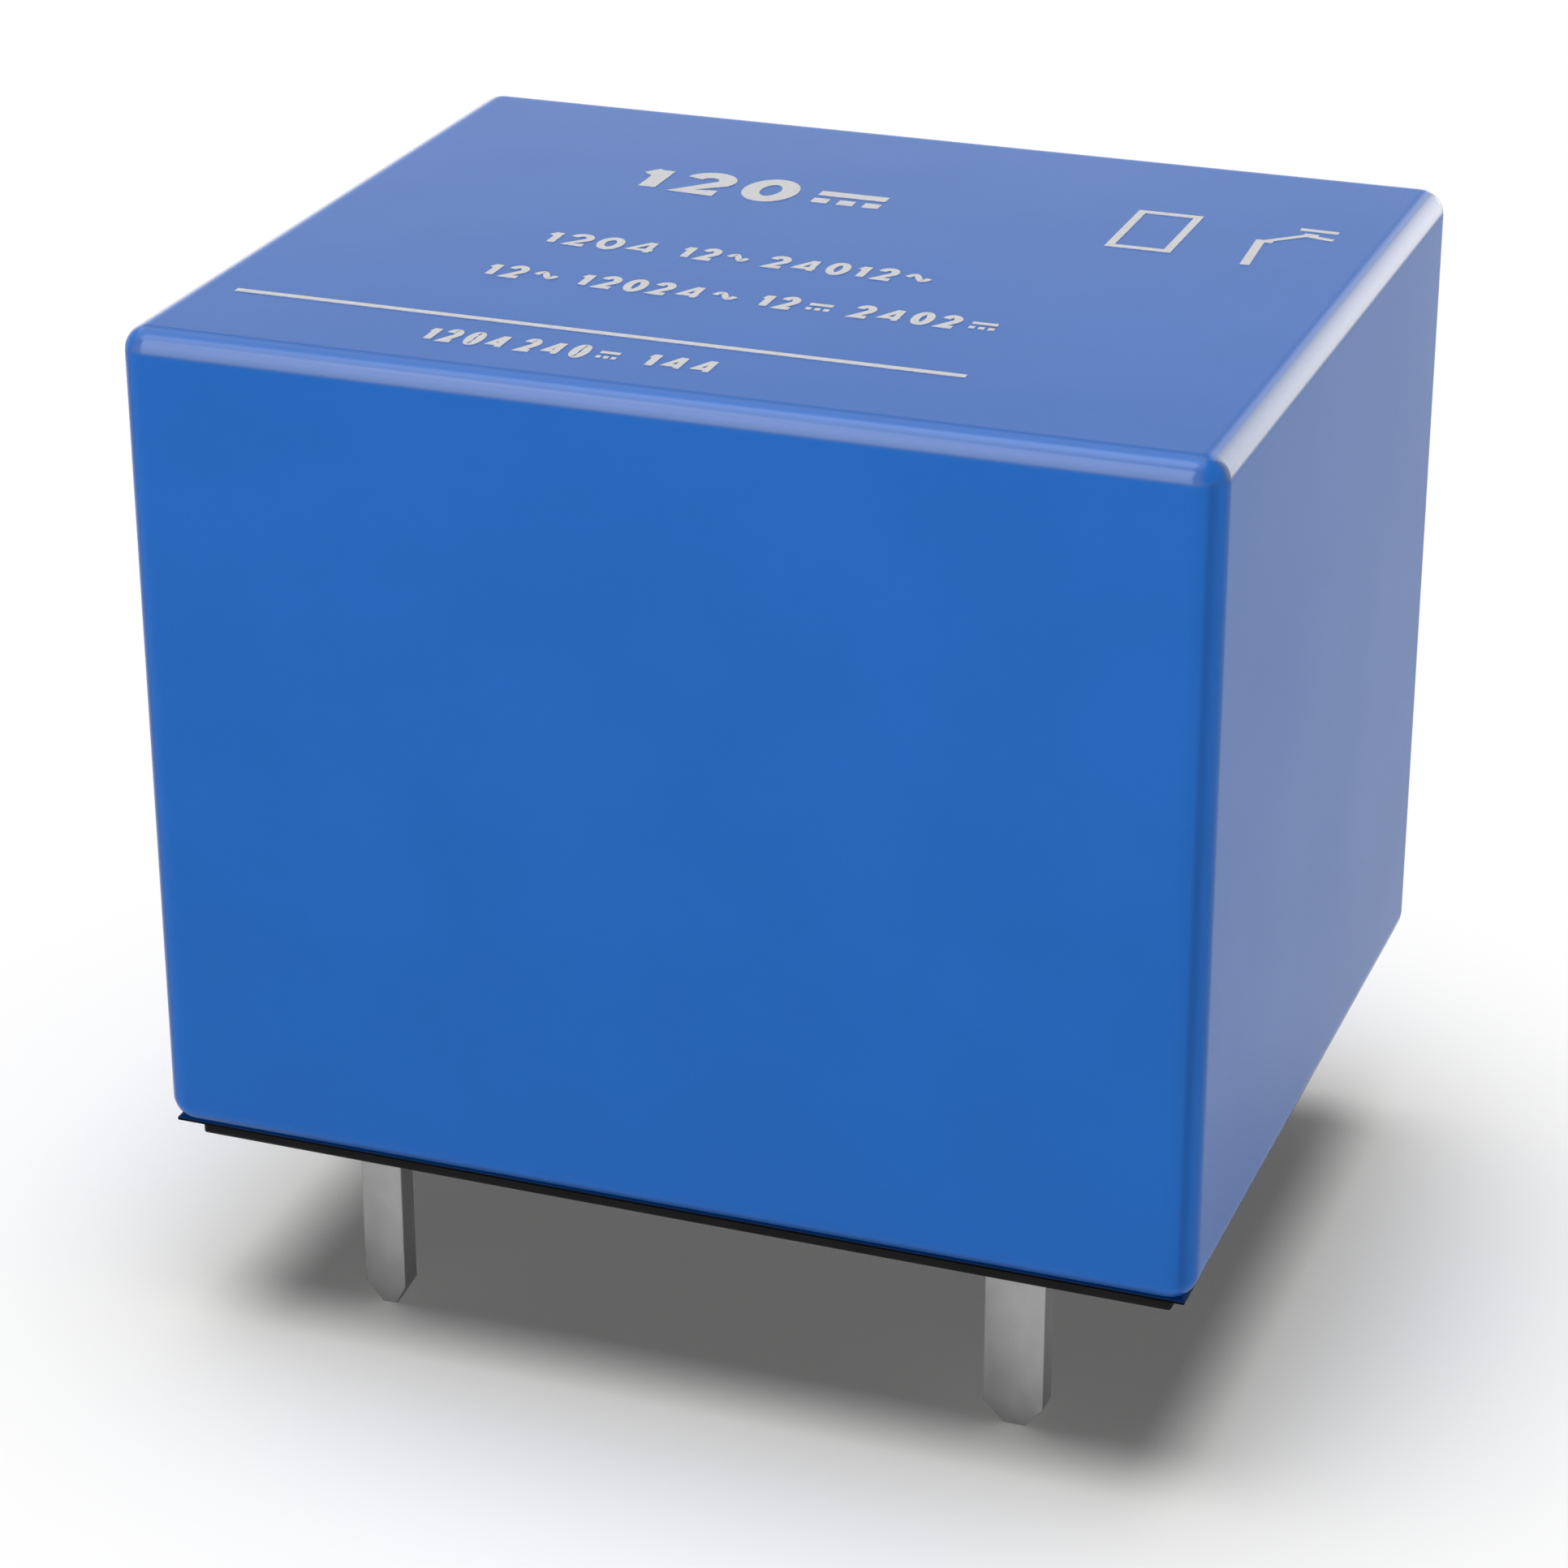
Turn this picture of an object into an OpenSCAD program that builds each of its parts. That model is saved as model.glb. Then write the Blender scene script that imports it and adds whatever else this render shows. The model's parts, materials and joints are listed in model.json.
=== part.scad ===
// Board relay in a rectangular blue case with five flat pins.
// The origin is the centre of the base's underside, which seats on the board.
// X runs along the case from the common pin to the contact pins, and Z is up.
// The armature is drawn released, with its free end up against the closed rest contact.

/* [Case] */
// Length of the case along X
case_length = 19.0; // [18.8:0.1:21]
// Width of the case along Y
case_width = 15.5; // [15.2:0.1:18]
// Height of the case's top over the board
case_top = 15.4; // [14.5:0.05:18]
// Thickness of the case's walls and roof
case_wall = 0.7; // [0.5:0.05:0.75]
// Radius of the case's outer edges and corners
case_edge_radius = 0.5; // [0.35:0.05:0.6]
// Radius of the case's upright inner corners
case_inner_radius = 0.3; // [0.1:0.05:0.6]

/* [Base] */
// Height of the standoff plate that seats on the board
standoff_height = 0.4; // [0.25:0.05:0.6]
// Inset of the standoff plate from the case's ends
standoff_end_inset = 0.45; // [0.3:0.05:0.5]
// Inset of the standoff plate from the case's sides
standoff_side_inset = 0.5; // [0.3:0.05:0.8]
// Radius of the standoff plate's lower edges and upright corners
standoff_edge_radius = 0.15; // [0.05:0.05:0.2]
// Inset of the lip from the case's ends
lip_end_inset = 0.1; // [0.05:0.05:0.25]
// Inset of the lip from the case's sides
lip_side_inset = 0.2; // [0.05:0.05:0.25]
// Height of the lip's upright edge
lip_edge_height = 0.06; // [0.04:0.01:0.1]
// Height of the whole lip, which carries the case's rim
lip_height = 0.12; // [0.11:0.01:0.2]
// Width of the bevel along the top of the lip
lip_bevel = 0.12; // [0.05:0.01:0.2]
// Height of the base's floor over the board
floor_top = 1.55; // [1.2:0.05:2]
// Thickness of the wall between the coil and the contacts
barrier_thickness = 0.7; // [0.5:0.1:0.9]
// Height of the sockets that hold the contact terminals, over the floor
socket_height = 4.5; // [3:0.25:6]
// Wall of those sockets
socket_wall = 0.6; // [0.4:0.05:0.8]
// Height of the ribs that locate the yoke's foot
yoke_rib_height = 0.8; // [0.4:0.1:1.1]
// Thickness of the ribs that locate the yoke's foot
yoke_rib_thickness = 0.45; // [0.3:0.05:0.5]
// Width and height of the sealing bead inside the case's rim
bead_size = 0.35; // [0.2:0.05:0.4]

/* [Pins] */
// Distance of the two rows of pins from the case's inner side walls
pin_row_inset = 1.05; // [0.95:0.05:1.3]
// Distance of the common pin beyond the coil pins, along X
common_pin_setback = 2.05; // [1.9:0.05:2.05]
// Clearance between the common terminal's plate and the case's inner end wall
common_end_gap = 0.5; // [0.35:0.05:0.8]
// Clearance between the contact terminals and the case's inner end wall
contact_end_gap = 1.3; // [0.8:0.05:1.5]
// Length of the pins below the board face
pin_length = 3.5; // [3:0.05:5]
// Thickness of the strip that all five terminals are made of
strip_thickness = 0.5; // [0.4:0.05:0.6]
// Width of the contact pins and the common pin
contact_pin_width = 1.1; // [0.8:0.05:1.2]
// Width of the coil pins
coil_pin_width = 0.8; // [0.6:0.05:1]
// Height of the tapered pin tips
tip_height = 0.46; // [0.3:0.02:0.6]
// Width left at the end of a pin, as a share of its own width
tip_width_share = 0.34; // [0.2:0.02:0.6]
// Thickness left at the end of a pin, as a share of the strip's
tip_thickness_share = 0.5; // [0.3:0.05:0.9]
// Margin of resin round each pin in the underside
well_margin = 0.35; // [0.2:0.05:0.4]
// Depth of the resin wells in the underside
well_depth = 0.4; // [0.3:0.05:0.6]
// Recess of the resin below the underside's face
resin_recess = 0.05; // [0.02:0.01:0.1]

/* [Magnet] */
// Thickness of the yoke's iron
yoke_thickness = 1.2; // [1:0.05:1.3]
// Inset of the yoke's and the armature's sides from the bobbin's flanges
yoke_side_inset = 0.8; // [0.7:0.05:1.1]
// Radius inside the yoke's bend
yoke_bend_radius = 0.4; // [0.2:0.05:0.6]
// Length of the yoke's foot beyond the core's axis
yoke_foot_reach = 3.0; // [2.5:0.1:3.5]
// Width of each ear at the top of the yoke
yoke_ear_width = 1.0; // [0.8:0.1:1.2]
// Height of those ears over the yoke's top edge
yoke_ear_height = 0.7; // [0.4:0.05:0.9]
// Radius of the core's shaft, as a share of the winding's radius
core_share = 0.45; // [0.4:0.01:0.5]
// Width of the shoulder over the core's riveted tail
core_shoulder = 0.45; // [0.3:0.05:0.6]
// Overhang of the core's pole cap over its shaft
pole_overhang = 0.95; // [0.7:0.05:1.2]
// Thickness of the core's pole cap
pole_thickness = 0.5; // [0.4:0.05:0.7]
// Bevel round the pole cap's face
pole_bevel = 0.12; // [0.05:0.01:0.2]
// Thickness of the armature
armature_thickness = 1.0; // [0.9:0.05:1.1]
// Distance of the armature's nose short of the barrier wall
armature_nose_gap = 0.1; // [0:0.05:0.8]
// Width of the armature's nose
armature_nose_width = 5.4; // [5:0.1:6.5]
// Bevel along the armature's upper rear edge
armature_bevel = 0.33; // [0.1:0.01:0.5]
// Angle that the armature turns through when it pulls in
armature_swing = 2.5; // [2:0.1:3]

/* [Coil] */
// Clearance between the bobbin's flanges and the solder posts
flange_post_gap = 0.75; // [0.5:0.05:1]
// Thickness of the bobbin's flanges
flange_thickness = 0.8; // [0.6:0.05:1]
// Corner radius of the bobbin's flanges
flange_corner_radius = 0.8; // [0.3:0.1:1.2]
// Wall of the bobbin's barrel
barrel_wall = 0.5; // [0.4:0.05:0.6]
// Inset of the finished winding from the edge of the bobbin's flanges
winding_inset = 0.25; // [0.15:0.05:0.6]
// Radius of the winding's outer corners
winding_corner_radius = 0.3; // [0.1:0.05:0.5]
// Width of the bobbin's lugs that hold the coil terminals, along X
lug_width = 1.9; // [1.8:0.1:2]
// Height of those lugs over the lower flange
lug_rise = 0.8; // [0.5:0.1:1.2]
// Width of the coil terminals' shoulders
coil_shoulder_width = 1.2; // [1.1:0.05:1.3]
// Height of the coil terminals' shoulders
coil_shoulder_height = 1.1; // [0.8:0.1:1.4]
// Height of the coil terminals' solder posts over the lugs
post_height = 1.1; // [0.9:0.1:1.4]
// Width of the solder posts
post_width = 0.5; // [0.4:0.05:0.6]
// Radius of the solder on the posts
solder_radius = 0.52; // [0.45:0.01:0.6]
// Radius of the winding's lead wire
lead_radius = 0.08; // [0.05:0.01:0.1]

/* [Contacts] */
// Thickness of the moving leaf
leaf_thickness = 0.15; // [0.1:0.01:0.18]
// Width of the leaf on the armature
leaf_width = 5.0; // [4.6:0.1:5]
// Width of the leaf's rear leg
leaf_leg_width = 3.8; // [3.2:0.1:4.2]
// Width of the leaf at the moving contact
leaf_tip_width = 3.0; // [2.6:0.1:3.4]
// Width of the window in the leaf's bend
leaf_window_width = 1.5; // [1:0.1:2]
// Distance from the hinge to where the leaf's bend meets the armature
leaf_landing = 0.5; // [0.4:0.05:0.7]
// Reach of the leaf's bend behind the hinge, which sets how far it bulges
leaf_reach = 2.6; // [2.2:0.1:2.8]
// Height of the vertical stretch where the leaf leaves the yoke
leaf_leg_clear = 1.9; // [1.6:0.1:2.2]
// Radius of the contacts' heads
contact_radius = 1.1; // [0.9:0.05:1.25]
// Height of the contacts' heads
contact_height = 0.4; // [0.3:0.02:0.45]
// Radius of the contacts' domed faces
contact_dome_radius = 4.0; // [3:0.25:6]
// Radius of the contacts' shanks
contact_shank_radius = 0.6; // [0.5:0.05:0.7]
// Width of the contact terminals inside the case
arm_width = 3.0; // [2.6:0.1:3.2]
// Radius inside the contact terminals' bends
arm_bend_radius = 0.3; // [0.1:0.05:0.5]
// Clear height between the upper contact arm and the case's roof
arm_headroom = 0.3; // [0.15:0.05:0.6]
// Radius of the rivets through the yoke and the armature
rivet_radius = 0.5; // [0.4:0.05:0.6]
// Radius of the rivets' heads
rivet_head_radius = 0.85; // [0.75:0.05:1]
// Height of the rivets' heads
rivet_head_height = 0.22; // [0.15:0.01:0.25]
// Radius of the rivets' domed faces
rivet_dome_radius = 2.0; // [1.8:0.1:4]
// Distance between the two rivets in the yoke
yoke_rivet_spacing = 2.2; // [1.9:0.1:2.4]
// Distance between the two rivets in the armature
armature_rivet_spacing = 3.2; // [2.4:0.1:3.6]
// Half width of the common terminal's plate
common_plate_half = 2.0; // [1.8:0.1:2.2]
// Margin of the common terminal's plate round its rivets
common_plate_margin = 1.0; // [0.9:0.05:1.2]

/* [Fits] */
// Clearance of the base's plug in the case, each side
plug_fit = 0.05; // [0.03:0.01:0.1]
// Clearance of pins and terminals in their slots, each side
slot_fit = 0.04; // [0.02:0.01:0.06]
// Clearance between pieces that are fastened face to face
seat_gap = 0.01; // [0.005:0.005:0.02]
// Clearance left between touching contacts and at the closed pole
touch_gap = 0.02; // [0.015:0.005:0.03]
// Clearance of the armature between the yoke's ears
ear_fit = 0.12; // [0.1:0.01:0.15]
// Clearance of the bobbin round the core
bore_fit = 0.05; // [0.03:0.01:0.08]
// Clearance between the yoke and the bobbin's flanges
coil_side_gap = 0.18; // [0.1:0.02:0.25]
// Clearance between the bobbin and the barrier wall
barrier_gap = 0.6; // [0.4:0.05:0.7]
// Clearance between the barrier wall and the contact terminals' sockets
socket_gap = 0.16; // [0.1:0.02:0.3]
// Clearance of the barrier wall under the closed armature
barrier_clearance = 0.6; // [0.4:0.05:1]

/* [Hidden] */
$fn = 48;

// Overlap of solids that are joined, and overshoot of the solids that cut them
joint = 0.2;
cut = 1;

// Levels from the board up: lip, rim and floor
lip_bottom = standoff_height;
rim_level = lip_bottom + lip_height;

// Room inside the case
cavity_length = case_length - 2 * case_wall;
cavity_width = case_width - 2 * case_wall;
cavity_top = case_top - case_wall;
plug_length = cavity_length - 2 * plug_fit;
plug_width = cavity_width - 2 * plug_fit;

// Pins in the board
row_y = cavity_width / 2 - pin_row_inset;
contact_x = cavity_length / 2 - contact_end_gap - arm_width / 2;
common_x = -cavity_length / 2 + common_end_gap + strip_thickness / 2;
coil_x = common_x + common_pin_setback;

// Yoke and leaf stand in front of the common terminal, the barrier wall beside the sockets
common_front = common_x + strip_thickness / 2;
leaf_leg_x = common_front + seat_gap + leaf_thickness / 2;
yoke_back = common_front + leaf_thickness + 2 * seat_gap;
yoke_front = yoke_back + yoke_thickness;
socket_length = arm_width + 2 * (slot_fit + socket_wall);
barrier_x = contact_x - socket_length / 2 - socket_gap - barrier_thickness;

// The coil fills the room between the yoke and the barrier wall
flange_length = barrier_x - barrier_gap - yoke_front - coil_side_gap;
flange_width = 2 * (row_y - strip_thickness / 2 - flange_post_gap);
core_x = yoke_front + coil_side_gap + flange_length / 2;
winding_radius = min(flange_length, flange_width) / 2 - winding_inset;
core_radius = core_share * winding_radius;
core_tail_radius = core_radius - core_shoulder;
pole_radius = core_radius + pole_overhang;
yoke_width = flange_width - 2 * yoke_side_inset;

// Contact levels come down from the roof, and the hinge follows from them
lever = contact_x - yoke_back;
closed_arm_top = cavity_top - arm_headroom;
closed_arm_bottom = closed_arm_top - strip_thickness;
closed_tip = closed_arm_bottom - seat_gap - contact_height;
leaf_stack = armature_thickness + leaf_thickness + 2 * seat_gap + contact_height;
released_rise = lever * sin(armature_swing) + leaf_stack * cos(armature_swing);
hinge_z = closed_tip - touch_gap - released_rise;
pole_face = hinge_z - touch_gap;
leaf_bottom = armature_thickness + seat_gap;
open_tip = hinge_z + leaf_bottom - seat_gap - contact_height - touch_gap;
open_arm_top = open_tip - contact_height - seat_gap;

// Coil levels between the yoke's foot and the pole
foot_top = floor_top + yoke_thickness;
flange_top = foot_top + seat_gap + flange_thickness;
upper_flange_top = pole_face - pole_thickness - seat_gap;
upper_flange_bottom = upper_flange_top - flange_thickness;
lug_top = flange_top + lug_rise;
rib_outer = yoke_width / 2 + slot_fit + yoke_rib_thickness;
rib_start = coil_x + lug_width / 2 + slot_fit;
barrel_radius = core_radius + bore_fit + barrel_wall;

// Rivets through the leaf's leg, the common plate and the yoke
leg_top = hinge_z - leaf_leg_clear;
upper_rivet_z = leg_top - common_plate_margin;
yoke_rivet_levels = [upper_rivet_z - yoke_rivet_spacing, upper_rivet_z];
leg_bottom = upper_rivet_z - yoke_rivet_spacing - common_plate_margin;
armature_rivet_places = [core_x - armature_rivet_spacing / 2, core_x + armature_rivet_spacing / 2];

// Contact terminals' arms
arm_outer = row_y + strip_thickness / 2;
bend_outer_radius = arm_bend_radius + strip_thickness;
socket_depth = plug_width / 2 - row_y + strip_thickness / 2 + slot_fit + socket_wall;

// The five pins: place, blade along X and blade along Y
PINS = [
    [[coil_x, -row_y], [coil_pin_width, strip_thickness]],
    [[coil_x, row_y], [coil_pin_width, strip_thickness]],
    [[common_x, 0], [strip_thickness, contact_pin_width]],
    [[contact_x, -row_y], [contact_pin_width, strip_thickness]],
    [[contact_x, row_y], [contact_pin_width, strip_thickness]]
];

// Rectangle with round corners, centred
module rounded_plate(length, width, radius) {
    square([length - 2 * radius, width], center = true);
    square([length, width - 2 * radius], center = true);
    for (x = [-1, 1], y = [-1, 1])
        translate([x * (length / 2 - radius), y * (width / 2 - radius)]) circle(radius);
}

// Block whose every edge and corner is round, standing on z = 0
module rounded_block(length, width, height, radius) {
    inner_length = length - 2 * radius;
    inner_width = width - 2 * radius;
    linear_extrude(height) square([inner_length, inner_width], center = true);
    translate([0, 0, radius])
        linear_extrude(height - 2 * radius) rounded_plate(length, width, radius);
    for (z = [radius, height - radius]) {
        for (y = [-1, 1])
            translate([-inner_length / 2, y * inner_width / 2, z])
                rotate([0, 90, 0]) cylinder(r = radius, h = inner_length);
        for (x = [-1, 1])
            translate([x * inner_length / 2, inner_width / 2, z])
                rotate([90, 0, 0]) cylinder(r = radius, h = inner_width);
        for (x = [-1, 1], y = [-1, 1])
            translate([x * inner_length / 2, y * inner_width / 2, z]) sphere(radius);
    }
}

// Solid under two upright profiles, one seen along Y and one seen along X
module two_way_solid(length, width) {
    intersection() {
        translate([0, width, 0]) rotate([90, 0, 0]) linear_extrude(2 * width) children(0);
        translate([-length, 0, 0]) rotate([90, 0, 90]) linear_extrude(2 * length) children(1);
    }
}

// Profile of a plate whose top edge is bevelled
module bevelled_profile(length, height, edge, bevel) {
    polygon([
        [-length / 2, 0], [length / 2, 0], [length / 2, edge],
        [length / 2 - bevel, height], [-length / 2 + bevel, height], [-length / 2, edge]
    ]);
}

// Profile of a plate whose lower corners are round and whose top runs on upwards
module standoff_profile(length, height, radius) {
    translate([-length / 2, radius]) square([length, height - radius]);
    translate([-length / 2 + radius, 0]) square([length - 2 * radius, radius + joint / 2]);
    for (x = [-1, 1]) translate([x * (length / 2 - radius), radius]) circle(radius);
}

// Blade of a pin from its tapered tip at the bottom up to a level
module pin_blade(size, level) {
    wide_in_x = size.x > size.y;
    translate([0, 0, -pin_length])
        two_way_solid(size.x, size.y) {
            blade_profile(size.x, wide_in_x ? tip_width_share : tip_thickness_share, level + pin_length);
            blade_profile(size.y, wide_in_x ? tip_thickness_share : tip_width_share, level + pin_length);
        }
}

// Side view of a blade that narrows at its lower end
module blade_profile(width, share, height) {
    end = width * share;
    polygon([
        [-end / 2, 0], [end / 2, 0], [width / 2, tip_height], [width / 2, height],
        [-width / 2, height], [-width / 2, tip_height]
    ]);
}

// Rivet head with a domed face, standing on z = 0
module domed_head(radius, height, dome) {
    intersection() {
        cylinder(r = radius, h = height);
        translate([0, 0, height - dome]) sphere(dome, $fn = 96);
    }
}

// Turns what is drawn for the pulled-in armature into its released place
module released() {
    translate([yoke_back, 0, hinge_z]) rotate([0, -armature_swing, 0]) children();
}

// Blue cover, open below, whose rim rests on the base's lip
module case() {
    color("royalblue") difference() {
        translate([0, 0, lip_bottom])
            rounded_block(case_length, case_width, case_top - lip_bottom, case_edge_radius);
        translate([0, 0, rim_level - case_edge_radius])
            linear_extrude(case_edge_radius)
                square([case_length + cut, case_width + cut], center = true);
        linear_extrude(cavity_top) rounded_plate(cavity_length, cavity_width, case_inner_radius);
        translate([0, 0, rim_level]) rim_bevel(0);
    }
}

// Bevel inside the case's rim, which the sealing bead fills
module rim_bevel(shrink) {
    size = bead_size - shrink;
    two_way_solid(case_length, case_width) {
        tapered_profile(cavity_length, size);
        tapered_profile(cavity_width, size);
    }
}

// Profile with sides at 45 degrees that comes in to a length at its top
module tapered_profile(top_length, height) {
    half = top_length / 2;
    polygon([[-half - height, 0], [half + height, 0], [half, height], [-half, height]]);
}

// Ring of resin between the case's rim and the base's plug
module seal_bead() {
    color("dimgray") difference() {
        translate([0, 0, rim_level]) rim_bevel(seat_gap);
        translate([0, 0, rim_level - cut])
            linear_extrude(bead_size + 2 * cut) rounded_plate(plug_length, plug_width, case_inner_radius);
    }
}

// Moulded base: standoff plate, lip, plug, barrier wall and terminal sockets
module base() {
    color("#1c1c1e") difference() {
        union() {
            standoff_plate();
            lip();
            translate([0, 0, rim_level - lip_height / 2])
                linear_extrude(floor_top - rim_level + lip_height / 2)
                    rounded_plate(plug_length, plug_width, case_inner_radius);
            barrier();
            for (side = [-1, 1]) {
                terminal_socket(side);
                yoke_rib(side);
            }
        }
        for (pin = PINS) pin_slot(pin[0], pin[1]);
        for (side = [-1, 1]) socket_pocket(side);
    }
}

// Plate with round lower edges that meets the board
module standoff_plate() {
    length = case_length - 2 * standoff_end_inset;
    width = case_width - 2 * standoff_side_inset;
    height = standoff_height + lip_edge_height / 2;
    intersection() {
        two_way_solid(length, width) {
            standoff_profile(length, height, standoff_edge_radius);
            standoff_profile(width, height, standoff_edge_radius);
        }
        linear_extrude(height) rounded_plate(length, width, standoff_edge_radius);
    }
}

// Thin lip under the case's rim, with a bevelled top edge
module lip() {
    translate([0, 0, lip_bottom])
        two_way_solid(case_length, case_width) {
            bevelled_profile(case_length - 2 * lip_end_inset, lip_height, lip_edge_height, lip_bevel);
            bevelled_profile(case_width - 2 * lip_side_inset, lip_height, lip_edge_height, lip_bevel);
        }
}

// Wall that keeps the coil apart from the contacts
module barrier() {
    translate([barrier_x, -plug_width / 2, floor_top - joint])
        cube([barrier_thickness, plug_width, pole_face - barrier_clearance - floor_top + joint]);
}

// Block at the case's side that takes a contact terminal's upright strip
module terminal_socket(side) {
    near_y = side > 0 ? plug_width / 2 - socket_depth : -plug_width / 2;
    translate([contact_x - socket_length / 2, near_y, floor_top - joint])
        cube([socket_length, socket_depth, socket_height + joint]);
}

// Pocket for that strip, down to the floor
module socket_pocket(side) {
    translate([contact_x, side * row_y, floor_top])
        linear_extrude(socket_height + cut)
            square([arm_width + 2 * slot_fit, strip_thickness + 2 * slot_fit], center = true);
}

// Low rib along one side of the yoke's foot
module yoke_rib(side) {
    near_y = side > 0 ? rib_outer - yoke_rib_thickness : -rib_outer;
    translate([rib_start, near_y, floor_top - joint])
        cube([core_x + yoke_foot_reach - rib_start, yoke_rib_thickness, yoke_rib_height + joint]);
}

// Slot for a pin through the floor, with a well for resin round it below
module pin_slot(place, size) {
    translate([place.x, place.y, 0]) {
        translate([0, 0, -cut]) linear_extrude(floor_top + 2 * cut)
            square([size.x + 2 * slot_fit, size.y + 2 * slot_fit], center = true);
        translate([0, 0, -cut]) linear_extrude(cut + well_depth) well_outline(size, 0);
    }
}

// Outline of a resin well
module well_outline(size, shrink) {
    margin = 2 * (well_margin - shrink);
    rounded_plate(size.x + margin, size.y + margin, well_margin - shrink);
}

// Resin round each pin, in its well
module pin_seals() {
    color("#3a3a38")
        for (pin = PINS)
            translate([pin[0].x, pin[0].y, resin_recess])
                linear_extrude(well_depth - resin_recess - seat_gap)
                    difference() {
                        well_outline(pin[1], seat_gap);
                        square([pin[1].x + 2 * seat_gap, pin[1].y + 2 * seat_gap], center = true);
                    }
}

// Bent iron strip: upright leg behind the coil and foot beneath it
module yoke() {
    color("#8d9096") difference() {
        union() {
            translate([0, yoke_width / 2, 0]) rotate([90, 0, 0])
                linear_extrude(yoke_width) yoke_profile(pole_face);
            for (near_y = [-yoke_width / 2, yoke_width / 2 - yoke_ear_width])
                translate([yoke_back, near_y, pole_face - joint])
                    cube([yoke_thickness, yoke_ear_width, yoke_ear_height + joint]);
        }
        translate([core_x, 0, floor_top - cut])
            cylinder(r = core_tail_radius + seat_gap, h = yoke_thickness + 2 * cut);
        for (z = yoke_rivet_levels)
            translate([yoke_back - cut, 0, z]) rotate([0, 90, 0])
                cylinder(r = rivet_radius + seat_gap, h = yoke_thickness + 2 * cut);
    }
}

// Side view of the yoke, with its bend at the lower rear corner
module yoke_profile(top) {
    outer = yoke_bend_radius + yoke_thickness;
    bend_x = yoke_back + outer;
    bend_z = floor_top + outer;
    translate([yoke_back, bend_z]) square([yoke_thickness, top - bend_z]);
    translate([bend_x, floor_top]) square([core_x + yoke_foot_reach - bend_x, yoke_thickness]);
    intersection() {
        translate([bend_x, bend_z]) difference() {
            circle(outer);
            circle(yoke_bend_radius);
        }
        translate([yoke_back, floor_top]) square(outer);
    }
}

// Iron core with its pole cap above and its riveted tail in the yoke's foot
module core() {
    color("#a3a6aa") translate([core_x, 0, 0]) rotate_extrude() polygon([
        [0, floor_top + seat_gap], [core_tail_radius, floor_top + seat_gap],
        [core_tail_radius, foot_top + seat_gap], [core_radius, foot_top + seat_gap],
        [core_radius, pole_face - pole_thickness], [pole_radius, pole_face - pole_thickness],
        [pole_radius, pole_face - pole_bevel], [pole_radius - pole_bevel, pole_face],
        [0, pole_face]
    ]);
}

// Moulded bobbin with lugs for the coil terminals
module bobbin() {
    color("#e4e0d4") difference() {
        union() {
            translate([core_x, 0, 0]) {
                translate([0, 0, foot_top + seat_gap]) linear_extrude(flange_thickness)
                    rounded_plate(flange_length, flange_width, flange_corner_radius);
                translate([0, 0, upper_flange_bottom]) linear_extrude(flange_thickness)
                    rounded_plate(flange_length, flange_width, flange_corner_radius);
                translate([0, 0, foot_top + 2 * seat_gap])
                    cylinder(r = barrel_radius, h = upper_flange_top - foot_top - 3 * seat_gap);
            }
            for (side = [-1, 1]) coil_lug(side);
        }
        translate([core_x, 0, foot_top - cut])
            cylinder(r = core_radius + bore_fit, h = pole_face - foot_top + 2 * cut);
        bend_relief();
        for (side = [-1, 1]) coil_terminal_pocket(side);
    }
}

// Lug at the lower flange that holds one coil terminal, and stands on the floor outside the rib
module coil_lug(side) {
    lug_block(side, yoke_width / 2 + slot_fit, foot_top + seat_gap);
    lug_block(side, rib_outer + slot_fit, floor_top + seat_gap);
}

// Block of the lug from an inner face outwards and from a level up
module lug_block(side, inner_y, level) {
    outer_y = row_y + strip_thickness / 2 + slot_fit + socket_wall;
    translate([coil_x - lug_width / 2, side > 0 ? inner_y : -outer_y, level])
        cube([lug_width, outer_y - inner_y, lug_top - level]);
}

// Bevel that clears the yoke's inner bend
module bend_relief() {
    relief = yoke_bend_radius + 2 * seat_gap;
    translate([yoke_front - seat_gap, flange_width, foot_top - seat_gap]) rotate([90, 0, 0])
        linear_extrude(2 * flange_width) polygon([[0, 0], [relief, 0], [0, relief]]);
}

// Stepped pocket for a coil terminal's shoulder and post
module coil_terminal_pocket(side) {
    translate([coil_x, side * row_y, floor_top]) {
        translate([0, 0, -cut]) linear_extrude(cut + coil_shoulder_height + slot_fit)
            square([coil_shoulder_width + 2 * slot_fit, strip_thickness + 2 * slot_fit], center = true);
        linear_extrude(lug_top - floor_top + cut)
            square([post_width + 2 * slot_fit, strip_thickness + 2 * slot_fit], center = true);
    }
}

// Copper winding on the barrel, with its two ends led to the solder posts
module winding() {
    color("#b5651d") {
        translate([core_x, 0, 0]) rotate_extrude() translate([0, flange_top + seat_gap]) winding_section();
        for (side = [-1, 1]) lead_wire(side);
    }
}

// Half section of the winding, whose outer corners are round
module winding_section() {
    inner = barrel_radius + seat_gap;
    height = upper_flange_bottom - flange_top - 2 * seat_gap;
    corner = winding_corner_radius;
    translate([inner, 0]) square([winding_radius - inner - corner, height]);
    translate([inner, corner]) square([winding_radius - inner, height - 2 * corner]);
    for (z = [corner, height - corner]) translate([winding_radius - corner, z]) circle(corner);
}

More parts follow.
